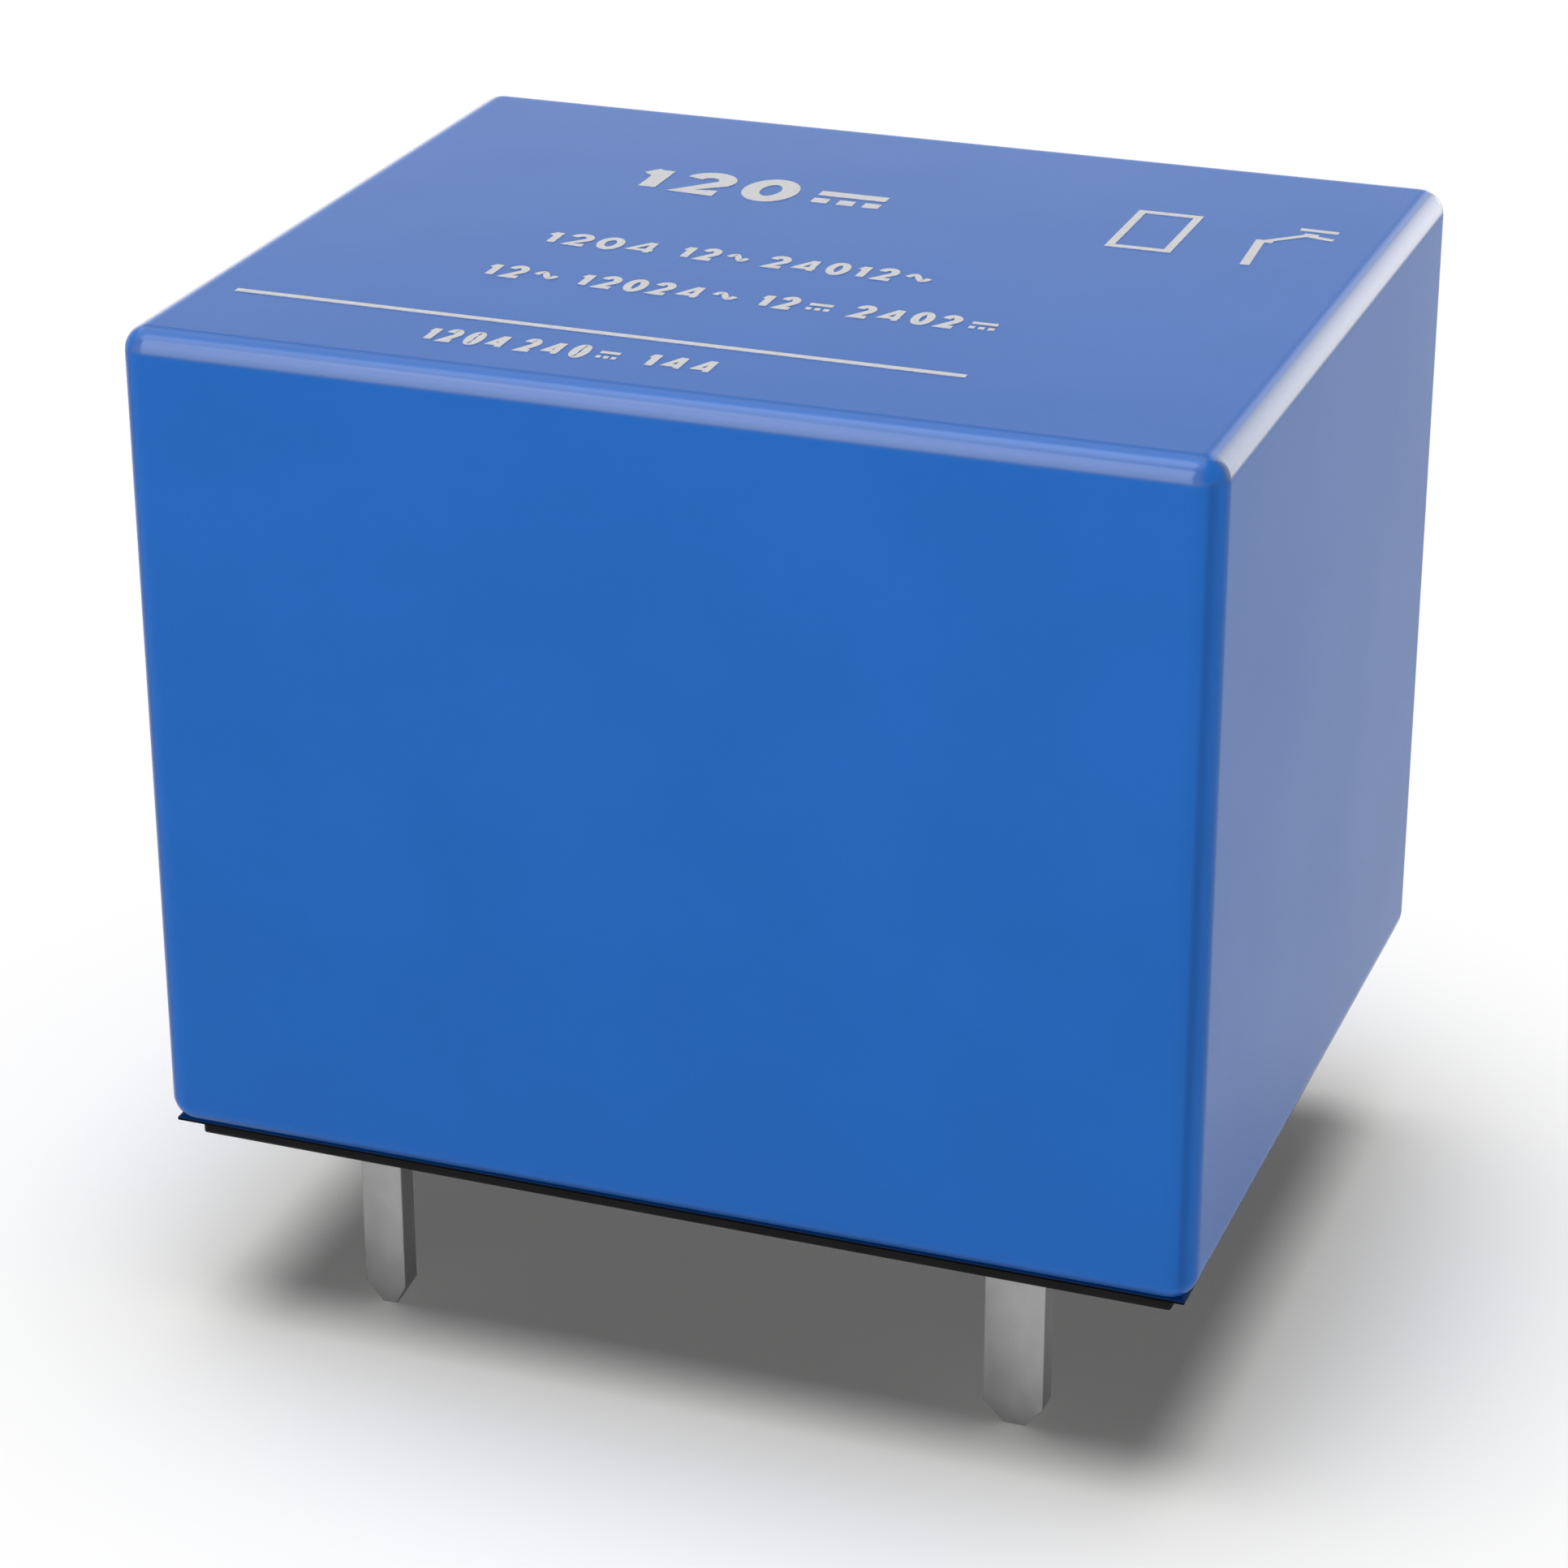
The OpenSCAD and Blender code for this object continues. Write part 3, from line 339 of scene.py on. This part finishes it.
def makePiece(name, points, faces, material, body="housing"):
    mesh = bpy.data.meshes.new(name)
    mesh.from_pydata(points.tolist(), [], faces)
    work = bmesh.new()
    work.from_mesh(mesh)
    bmesh.ops.remove_doubles(work, verts=work.verts, dist=madeMerge)
    bmesh.ops.dissolve_degenerate(work, edges=work.edges, dist=madeMerge)
    bmesh.ops.recalc_face_normals(work, faces=work.faces)
    work.to_mesh(mesh)
    work.free()
    mesh.polygons.foreach_set("use_smooth", np.ones(len(mesh.polygons), bool))
    mesh.set_sharp_from_angle(angle=sharpAngle)
    mesh.materials.append(material)
    piece = bpy.data.objects.new(name, mesh)
    bpy.context.scene.collection.objects.link(piece)
    if body:
        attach(piece, body)
    return piece


def ringFaces(rings, around, capStart=True, capEnd=True):
    # Quads between rings that follow each other, and one face over each end
    ring, station = np.meshgrid(np.arange(rings - 1), np.arange(around), indexing="ij")
    a = ring * around + station
    b = ring * around + (station + 1) % around
    faces = np.stack([a, b, b + around, a + around], -1).reshape(-1, 4).tolist()
    if capStart:
        faces.append(list(range(around))[::-1])
    if capEnd:
        faces.append([(rings - 1) * around + i for i in range(around)])
    return faces


caseShape = {
    "edgeRadius": 0.5 * mm, "roofRadius": 0.44 * mm,
    "roofInset": 0.06 * mm,        # the photograph has the roof this much lower than the solid
    "wall": 0.7 * mm, "innerRadius": 0.3 * mm, "innerRimRadius": 0.1 * mm, "rimBevel": 0.35 * mm,
    "roundingStart": 0.4 * mm,     # level at which the lower edge's rounding would end
    "tight": 0.02 * mm,            # distance of the extra rings that keep the flat faces flat
    "arcSteps": 8,
}


def sectionPattern(steps, tight):
    # A section goes round four corners: corner sign, direction on the arc, and a small shift along the sides
    angles = np.radians(90 * np.arange(4)[:, None] + np.linspace(0, 90, steps + 1)[None, :])
    direction = np.stack([np.cos(angles), np.sin(angles)], -1)
    sign = np.array([[1, 1], [-1, 1], [-1, -1], [1, -1]], float)[:, None, :] * np.ones((1, steps + 1, 1))
    before = np.stack([np.sin(angles[:, :1]), -np.cos(angles[:, :1])], -1)
    after = np.stack([-np.sin(angles[:, -1:]), np.cos(angles[:, -1:])], -1)
    shift = np.concatenate([before, np.zeros((4, steps + 1, 2)), after], 1) * tight
    direction = np.concatenate([direction[:, :1], direction, direction[:, -1:]], 1)
    sign = np.concatenate([sign[:, :1], sign, sign[:, -1:]], 1)
    return sign.reshape(-1, 2), direction.reshape(-1, 2), shift.reshape(-1, 2)


def sectionRings(half, radius, level, steps, tight):
    # Point = corner sign x (half size - radius) + radius x direction + shift, for every station at once
    sign, direction, shift = sectionPattern(steps, tight)
    corner = sign[None] * (half[:, None, :] - radius[:, None, None])
    flat = corner + radius[:, None, None] * direction[None] + shift[None]
    height = np.broadcast_to(level[:, None, None], flat.shape[:2] + (1,))
    return np.concatenate([flat, height], -1)


def blueCover():
    # Stations run from the roof's middle down the outer wall, round the rim and up the inner wall
    look = caseShape
    low, high = (np.array(corner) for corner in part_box("case"))
    outer = (high - low)[:2] / 2
    top = high[2] - look["roofInset"]
    r, roofR, tight = look["edgeRadius"], look["roofRadius"], look["tight"]
    arcAngle = np.radians(np.linspace(90, 0, look["arcSteps"] + 1))
    lowEnd = math.asin(1 - (low[2] - look["roundingStart"]) / r)
    lowAngle = np.linspace(0, lowEnd, look["arcSteps"])
    lowCentre = look["roundingStart"] + r
    inset = np.concatenate([[roofR + tight], roofR - roofR * np.cos(arcAngle), [0, 0],
                            r - r * np.cos(lowAngle)])
    level = np.concatenate([[top], top - roofR + roofR * np.sin(arcAngle),
                            [top - roofR - tight, lowCentre + tight], lowCentre - r * np.sin(lowAngle)])
    radius = r - np.maximum(inset, 0)
    cavity = outer - look["wall"]
    roof = high[2] - look["wall"]
    bevel = look["rimBevel"]
    innerHalf = np.array([cavity + bevel, cavity, cavity])
    innerLevel = np.array([low[2], low[2] + bevel, roof])
    innerRadius = np.array([look["innerRimRadius"], look["innerRadius"], look["innerRadius"]])
    half = np.concatenate([outer[None] - inset[:, None], innerHalf])
    rings = sectionRings(half, np.concatenate([radius, innerRadius]), np.concatenate([level, innerLevel]),
                         look["arcSteps"], tight)
    count, around = rings.shape[:2]
    faces = [face[::-1] for face in ringFaces(count, around)]
    return makePiece("BlueCover", rings.reshape(-1, 3), faces, finishes["blue_plastic"])


cover = blueCover()
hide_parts("case")
print("case made:", len(cover.data.polygons), "faces")


# The print on the roof is plain numbers, current marks and a contact diagram, in millimetres on the plan.
# A group is its marks with its left and right ends; a row's weight is its stroke over its height.
printShape = {
    "stroke": 0.15, "ruleStroke": 0.14, "depth": 0.012, "sink": 0.004, "step": 0.0012,
    "space": 0.16, "fineMarks": "4~=", "fineShare": 0.8, "mitreLimit": 0.5,
    "rule": [(-8.51, -5.17), (4.52, -5.17)],
    "coil": [(4.70, 2.25), (5.74, 2.25), (5.74, 4.32), (4.70, 4.32)],
    "changeover": [([(7.20, 1.97), (7.11, 3.42)], 0.17), ([(7.04, 3.37), (7.34, 3.37)], 0.13),
                   ([(7.12, 3.32), (7.80, 3.93), (8.31, 3.81)], 0.12), ([(7.74, 3.98), (8.00, 3.96)], 0.16),
                   ([(7.61, 4.27), (8.30, 4.25)], 0.14)],
    "rows": [
        {"base": 2.58, "height": 1.36, "weight": 0.24, "groups": [("120=", -4.60, 0.36)]},
        {"base": -0.98, "height": 0.68, "weight": 0.21,
         "groups": [("1204", -4.74, -2.60), ("12~", -2.18, -0.88), ("24012~", -0.58, 2.44)]},
        {"base": -3.01, "height": 0.68, "weight": 0.21,
         "groups": [("12~", -4.98, -3.60), ("12024~", -3.26, -0.33), ("12=", 0.04, 1.40),
                    ("2402=", 1.72, 4.30)]},
        {"base": -6.48, "height": 0.66, "weight": 0.21,
         "groups": [("1204", -4.52, -3.04), ("240=", -2.82, -1.03), ("144", -0.62, 0.62)]},
    ],
}


def arc(centreX, centreY, radiusX, radiusY, start, stop, steps=14):
    angle = np.radians(np.linspace(start, stop, steps + 1))
    return np.column_stack([centreX + radiusX * np.cos(angle), centreY + radiusY * np.sin(angle)]).tolist()


# Each mark has its width over its height and its middle lines in a unit box. True closes a line.
marks = {
    "0": (0.80, [(arc(0.5, 0.5, 0.5, 0.5, 0, 360, 28)[:-1], True)]),
    "1": (0.52, [([(0.70, 0.0), (0.70, 1.0)], False), ([(0.0, 0.70), (0.64, 0.96)], False)]),
    "2": (0.78, [(arc(0.48, 0.70, 0.48, 0.30, 168, -28) + [(0.02, 0.0), (1.0, 0.0)], False)]),
    "4": (0.94, [([(0.78, 0.0), (0.78, 1.0)], False), ([(0.68, 0.98), (0.0, 0.24), (1.0, 0.24)], False)]),
    "~": (1.05, [([(t, 0.5 + 0.24 * math.sin(2 * math.pi * t)) for t in np.linspace(0, 1, 25)], False)]),
    "=": (1.25, [([(0.0, 0.66), (1.0, 0.66)], False), ([(0.0, 0.24), (0.24, 0.24)], False),
                 ([(0.38, 0.24), (0.62, 0.24)], False), ([(0.76, 0.24), (1.0, 0.24)], False)]),
}
inkPoints, inkFaces = [], []


def inkBand(path, width, closed=False, level=0):
    # Thin slab of a width along a middle line: mitre = (normal before + normal after) over its share.
    # Bands that cross have different levels, so that no two tops lie in one plane.
    look = printShape
    path = np.array(path, float)
    around = np.vstack([path[-1:], path, path[:1]]) if closed else path
    run = np.diff(around, axis=0)
    run = run / np.linalg.norm(run, axis=1)[:, None]
    normal = np.column_stack([-run[:, 1], run[:, 0]])
    if closed:
        before, after = normal[:-1], normal[1:]
    else:
        before, after = np.vstack([normal[:1], normal]), np.vstack([normal, normal[-1:]])
    mitre = before + after
    along = np.maximum(np.sum(mitre * before, axis=1), look["mitreLimit"])
    mitre = mitre / along[:, None] * width / 2
    roof = (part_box("case")[1].z - caseShape["roofInset"]) / mm
    top = roof + look["depth"] - level * look["step"]
    bottom = top - look["depth"] - look["sink"] - level * look["step"]
    sides = [(path - mitre, bottom), (path + mitre, bottom), (path + mitre, top), (path - mitre, top)]
    rings = np.stack([np.column_stack([flat, np.full(len(flat), height)]) for flat, height in sides], 1) * mm
    if closed:
        rings = np.concatenate([rings, rings[:1]])
    offset = sum(len(part) for part in inkPoints)
    inkPoints.append(rings.reshape(-1, 3))
    faces = ringFaces(len(rings), 4, not closed, not closed)
    inkFaces.extend([[i + offset for i in face] for face in faces])


def inkGroup(text, left, right, row):
    # The marks of a group share one stretch, so that the group spans its place exactly
    height, stroke = row["height"], row["height"] * row["weight"]
    space = printShape["space"] * height
    natural = sum(marks[mark][0] * height for mark in text)
    stretch = (right - left - space * (len(text) - 1)) / natural
    x = left
    for mark in text:
        share, lines = marks[mark]
        width = share * height * stretch
        bandWidth = stroke * (printShape["fineShare"] if mark in printShape["fineMarks"] else 1.0)
        for level, (line, closed) in enumerate(lines):
            line = np.array(line)
            flat = np.column_stack([x + stroke / 2 + line[:, 0] * (width - stroke),
                                    row["base"] + stroke / 2 + line[:, 1] * (height - stroke)])
            inkBand(flat, bandWidth, closed, level)
        x += width + space


for row in printShape["rows"]:
    for text, left, right in row["groups"]:
        inkGroup(text, left, right, row)
inkBand(printShape["rule"], printShape["ruleStroke"])
inkBand(printShape["coil"], printShape["stroke"], True)
for level, (line, width) in enumerate(printShape["changeover"]):
    inkBand(line, width, level=level)
ink = makePiece("RoofPrint", np.concatenate(inkPoints), inkFaces, printInk())
print("print made:", len(ink.data.polygons), "faces")


# The leaf spring is a narrow leg on the yoke, a bend with a window, a plate and a taper to a round end.
# Lengths are in millimetres, and leg, plate and tip are half widths. At rest the plate slopes by swing degrees.
pivot = np.array(frame["joints"][0]["pos_m"]) / mm
leafShape = {
    "thickness": 0.15, "hinge": pivot[[0, 2]], "legX": pivot[0] - 0.085, "legTop": pivot[2] - 1.9,
    "legBottom": pivot[2] - 6.1, "swing": 2.5, "height": 1.085, "landing": 0.5, "reach": 2.6,
    "lever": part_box("normally_closed_contact")[0].x / mm + 1.1 - pivot[0],
    "leg": 1.9, "plate": 2.5, "tip": 1.5, "tipEnd": 0.02, "flare": (pivot[0] + 0.15, pivot[0] + 0.75),
    "plateEnd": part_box("core")[1].x / mm, "windowHalf": 0.75, "windowShare": 0.5, "windowEnd": 0.2,
    "legSteps": 7, "bendSteps": 24, "plateSteps": 29, "tipSteps": 9, "flexEnd": 1.0,
}


def leafSpring():
    # Middle line = leg, cubic bend B(t), straight plate.
    # Point = middle + share x half width along Y, half a thickness to each side of the line.
    look = leafShape
    hinge = np.array(look["hinge"])
    swing = math.radians(look["swing"])
    slope, rise = np.array([math.cos(swing), math.sin(swing)]), np.array([-math.sin(swing), math.cos(swing)])
    origin = hinge + look["height"] * rise
    landing = origin + look["landing"] * slope
    corners = np.array([[look["legX"], look["legTop"]], [look["legX"], hinge[1] + look["thickness"]],
                        landing - look["reach"] * slope, landing])
    t = np.linspace(0, 1, look["bendSteps"] + 1)[:, None]
    bend = ((1 - t) ** 3 * corners[0] + 3 * (1 - t) ** 2 * t * corners[1]
            + 3 * (1 - t) * t ** 2 * corners[2] + t ** 3 * corners[3])
    legLevels = np.linspace(look["legBottom"], look["legTop"], look["legSteps"] + 1)[:-1]
    leg = np.column_stack([np.full(look["legSteps"], look["legX"]), legLevels])
    tipAngle = np.linspace(0, math.pi / 2, look["tipSteps"] + 1)[1:]
    plate = np.linspace(look["landing"], look["lever"], look["plateSteps"] + 1)[1:]
    along = np.concatenate([plate, look["lever"] + look["tip"] * np.sin(tipAngle)])
    middle = np.concatenate([leg, bend, origin + along[:, None] * slope])
    x = middle[:, 0]
    bent = np.arange(len(middle)) >= len(leg)
    flare = np.interp(x, look["flare"], (look["leg"], look["plate"]))
    tipStart = (origin + look["lever"] * slope)[0]
    taper = np.interp(x, (look["plateEnd"], tipStart), (look["plate"], look["tip"]))
    half = np.where(x < 0, flare, taper)
    half[-len(tipAngle):] = look["tip"] * np.cos(tipAngle)
    half[-1] = look["tipEnd"]
    run = np.gradient(middle, axis=0)
    run /= np.linalg.norm(run, axis=1)[:, None]
    across = np.column_stack([-run[:, 1], run[:, 0]]) * look["thickness"] / 2
    window = np.minimum(look["windowHalf"], half * look["windowShare"])
    columns = np.stack([-half, -window, window, half], 1)
    stations = len(middle)
    grids = []
    for side in (1, -1):
        flat = middle + side * across
        grid = np.stack([np.broadcast_to(flat[:, None, 0], columns.shape), columns,
                         np.broadcast_to(flat[:, None, 1], columns.shape)], -1)
        grids.append(grid.reshape(-1, 3))
    solid = np.ones((stations - 1, 3), bool)
    behind = (x[:-1] < hinge[0]) & (x[1:] < hinge[0] + look["windowEnd"]) & bent[:-1]
    solid[behind, 1] = False
    faces, lift = [], stations * 4
    for i, j in np.argwhere(solid).tolist():
        a, b, c, d = i * 4 + j, i * 4 + j + 1, (i + 1) * 4 + j + 1, (i + 1) * 4 + j
        faces += [[a, b, c, d], [a + lift, d + lift, c + lift, b + lift]]
        neighbours = ((i - 1, j), (i, j + 1), (i + 1, j), (i, j - 1))
        for (p, q), (m, n) in zip(((a, b), (b, c), (c, d), (d, a)), neighbours):
            inside = 0 <= m < stations - 1 and 0 <= n < 3 and solid[m, n]
            if not inside:
                faces.append([q, p, p + lift, q + lift])
    return makePiece("LeafSpring", np.concatenate(grids) * mm, faces, finishes["spring_copper"], body=None)


leaf = leafSpring()
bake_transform(leaf)
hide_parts("moving_leaf")
print("leaf made:", len(leaf.data.polygons), "faces")


# Width of the small round edges of the moulded and stamped pieces, in millimetres
edgeSegments = 2
edgeShape = {"base": 0.02, "coil_terminal_front": 0.025, "coil_terminal_rear": 0.025,
             "common_terminal": 0.025, "normally_open_terminal": 0.025, "normally_closed_terminal": 0.025,
             "yoke": 0.06, "armature": 0.06, "bobbin": 0.05}

lipShape = {"levels": (0.39 * mm, 0.53 * mm), "beyond": 9.25 * mm, "left": 0.045 * mm, "right": 0.06 * mm}


def trimLip(mesh):
    # The ends of the base plate's lip stand a little further in: x moves by left or right
    points = np.empty(3 * len(mesh.vertices))
    mesh.vertices.foreach_get("co", points)
    x, z = points[0::3], points[2::3]
    low, high = lipShape["levels"]
    ends = (np.abs(x) > lipShape["beyond"]) & (z > low) & (z < high)
    x[ends] += np.where(x[ends] < 0, lipShape["left"], -lipShape["right"])
    mesh.vertices.foreach_set("co", points)


def dressedCopy(nodeName, width):
    # The node's own solid with its facets merged and its edges bevelled
    mesh = frame["nodes"][nodeName].data.copy()
    work = bmesh.new()
    work.from_mesh(mesh)
    bmesh.ops.remove_doubles(work, verts=work.verts, dist=solidMerge)
    bmesh.ops.dissolve_limit(work, angle_limit=flatAngle, verts=work.verts, edges=work.edges)
    walls = [face for face in work.faces if all(len(edge.link_faces) > 2 for edge in face.edges)]
    bmesh.ops.delete(work, geom=walls, context="FACES_ONLY")   # left inside where two solids of a node meet
    work.to_mesh(mesh)
    work.free()
    if nodeName == "base":
        trimLip(mesh)
    mesh.polygons.foreach_set("use_smooth", np.ones(len(mesh.polygons), bool))
    piece = bpy.data.objects.new(titled(nodeName), mesh)
    bpy.context.scene.collection.objects.link(piece)
    bevel = piece.modifiers.new("Edges", "BEVEL")
    bevel.width = width * mm
    bevel.segments = edgeSegments
    bevel.limit_method = "ANGLE"
    bevel.angle_limit = sharpAngle
    bevel.use_clamp_overlap = True
    bevel.harden_normals = True
    body = next(b for b, members in frame["record"]["behaviour"]["bodies"].items() if nodeName in members)
    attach(piece, body)
    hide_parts(nodeName)


for nodeName, width in edgeShape.items():
    dressedCopy(nodeName, width)
print("edges rounded:", len(edgeShape), "pieces")


# The floor is lit near the object and fades to plain white between near and far, in millimetres
floorShape = {
    "level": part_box("normally_open_terminal")[0].z, "half": 400 * mm, "albedo": colour(0.795, 0.791, 0.781),
    "glow": 0.056, "stretch": (1, 1.12, 1), "near": 10, "far": 22, "glossShade": 0.88,
}


def makeFloor():
    look = floorShape
    half, level = look["half"], look["level"]
    corners = ((-half, -half), (half, -half), (half, half), (-half, half))
    points = np.array([[x, y, level] for x, y in corners])
    material, f = newMaterial("Floor")
    distance = f.add("ShaderNodeVectorMath", {"operation": "LENGTH"}, {0: f.place(look["stretch"])},
                     output="Value")
    lit = f.add("ShaderNodeBsdfDiffuse", None, {"Color": look["albedo"]})
    gloss = f.add("ShaderNodeLightPath", output="Is Glossy Ray")
    seen = f.mix(gloss, colour(1, 1, 1), colour(*[look["glossShade"]] * 3))
    white = f.add("ShaderNodeEmission", None, {"Color": seen, "Strength": 1.0})
    fade = distance.ramp(look["near"], look["far"], look["glow"], 1.0)
    blend = f.add("ShaderNodeMixShader", None, {"Fac": fade, 1: lit, 2: white})
    f.add("ShaderNodeOutputMaterial", None, {"Surface": blend})
    floor = makePiece("Floor", points, [[0, 1, 2, 3]], material, body=None)


makeFloor()

worldLevels = {
    "band": 8.0, "bandTop": 0.08, "bandFade": 0.15,   # low band of light round the horizon
    "rightCut": 0.6, "seen": 1.0, "glossSeen": 1.18,
}


def makeWorld():
    levels = worldLevels
    world = bpy.data.worlds.new("Studio")
    bpy.context.scene.world = world
    world.use_nodes = True
    f = Finish(world.node_tree)
    height = f.split(f.add("ShaderNodeTexCoord", output="Generated"), "Z")
    side = height.output("X").atLeast(0.0)
    camera = f.add("ShaderNodeLightPath", output="Is Camera Ray")
    band = height.ramp(levels["bandTop"], levels["bandFade"], levels["band"], 0.0)
    band = band * (1 - side * levels["rightCut"])   # darker to the right of the object
    seen = camera.atLeast(camera.output("Is Transmission Ray"))
    gloss = camera.output("Is Glossy Ray")
    strength = (band * (1 - seen.atLeast(gloss)) + seen * levels["seen"]
                + (1 - seen) * gloss * levels["glossSeen"])
    background = f.add("ShaderNodeBackground", None, {"Color": colour(1, 1, 1), "Strength": strength})
    f.add("ShaderNodeOutputWorld", None, {"Surface": background})


makeWorld()

# Places and sizes in millimetres; a card's last number is its share of the row's radiance
lampLevels = {
    "overhead": 3.08, "overheadPlace": (-28, -22, 500), "overheadSize": 400,
    "front": 0.1, "frontPlace": (60, -420, 65), "frontSize": (300, 90), "aim": (0, 0, 8),
    "side": 1.75, "sidePlace": (24, 75), "sideLength": 110,
    "sideCards": [(5.5, 11, 0.84), (11, 16, 0.93), (16, 24, 0.99), (24, 31, 0.92), (31, 38, 0.74),
                  (38, 48, 0.62), (48, 62, 0.40), (62, 80, 0.20)],   # lower edge, upper edge
    "frontBand": 3.3, "frontFrom": (0, -7, 15), "frontDistance": 400, "frontWidth": 200,
    "frontCards": [((-0.34, -0.93, 0.15), 140, 0.68), ((-0.34, -0.73, 0.59), 250, 0.97),
                   ((-0.34, -0.25, 0.905), 264, 0.58)],   # direction, length
}


def addLamp(name, position, size, power, sizeY=None, aim=lampLevels["aim"], across=(1, 0, 0), diffuse=True,
            gloss=True):
    # Area lamp that faces a point; across is the direction of its first side
    lamp = bpy.data.lights.new(name, "AREA")
    lamp.shape = "RECTANGLE" if sizeY else "DISK"
    lamp.size = size * mm
    if sizeY:
        lamp.size_y = sizeY * mm
    lamp.energy = power
    holder = bpy.data.objects.new(name, lamp)
    place = Vector(position) * mm
    back = (place - Vector(aim) * mm).normalized()
    side = Vector(across)
    side = (side - back * side.dot(back)).normalized()
    turn = Matrix((side, back.cross(side), back)).transposed()
    holder.matrix_world = Matrix.Translation(place) @ turn.to_4x4()
    holder.visible_camera = False
    holder.visible_diffuse = diffuse
    holder.visible_glossy = gloss
    bpy.context.scene.collection.objects.link(holder)


def addCard(name, centre, width, length, radiance, facing, across):
    # Bright card that only reflections show: power = pi x area x radiance
    power = math.pi * width * length * mm * mm * radiance
    aim = [c + d for c, d in zip(centre, facing)]
    addLamp(name, centre, width, power, length, aim, across, diffuse=False)


def makeLights():
    levels = lampLevels
    addLamp("Overhead", levels["overheadPlace"], levels["overheadSize"], levels["overhead"], gloss=False)
    width, height = levels["frontSize"]
    addLamp("Front", levels["frontPlace"], width, levels["front"], height, gloss=False)
    # beside the back of the object: the light line along the right-hand top edge, which fades upwards
    for step, (low, high, share) in enumerate(levels["sideCards"]):
        centre = (*levels["sidePlace"], (low + high) / 2)
        addCard("SideCard%d" % step, centre, levels["sideLength"], high - low, levels["side"] * share,
                (-1, 0, 0), (0, 1, 0))
    # in front on the left: the band along the front top edge
    for step, (direction, length, share) in enumerate(levels["frontCards"]):
        centre = [levels["frontDistance"] * d + o for d, o in zip(direction, levels["frontFrom"])]
        addCard("FrontCard%d" % step, centre, levels["frontWidth"], length, levels["frontBand"] * share,
                [-d for d in direction], (direction[1], -direction[0], 0))


makeLights()
print("lights made")


# Position in millimetres, angles in degrees, near and far in metres
cameraShape = {"position": (25.746, -70.658, 39.398), "azimuth": 20.409, "elevation": 24.421, "roll": -0.148,
               "lens": 103.8, "sensor": 36.0, "near": 0.001, "far": 10}


def makeCamera():
    shape = cameraShape
    azimuth, elevation = math.radians(shape["azimuth"]), math.radians(shape["elevation"])
    back = Vector((math.sin(azimuth) * math.cos(elevation), -math.cos(azimuth) * math.cos(elevation),
                   math.sin(elevation)))
    right = Vector((math.cos(azimuth), math.sin(azimuth), 0))
    up = back.cross(right)
    turn = Matrix((right, up, back)).transposed() @ Matrix.Rotation(math.radians(shape["roll"]), 3, "Z")
    camera = bpy.data.cameras.new("Camera")
    camera.lens = shape["lens"]
    camera.sensor_width = shape["sensor"]
    camera.sensor_fit = "HORIZONTAL"
    camera.clip_start = shape["near"]
    camera.clip_end = shape["far"]
    holder = bpy.data.objects.new("Camera", camera)
    holder.matrix_world = Matrix.Translation(Vector(shape["position"]) * mm) @ turn.to_4x4()
    bpy.context.scene.collection.objects.link(holder)
    bpy.context.scene.camera = holder


makeCamera()
bpy.context.scene.view_settings.view_transform = "Standard"
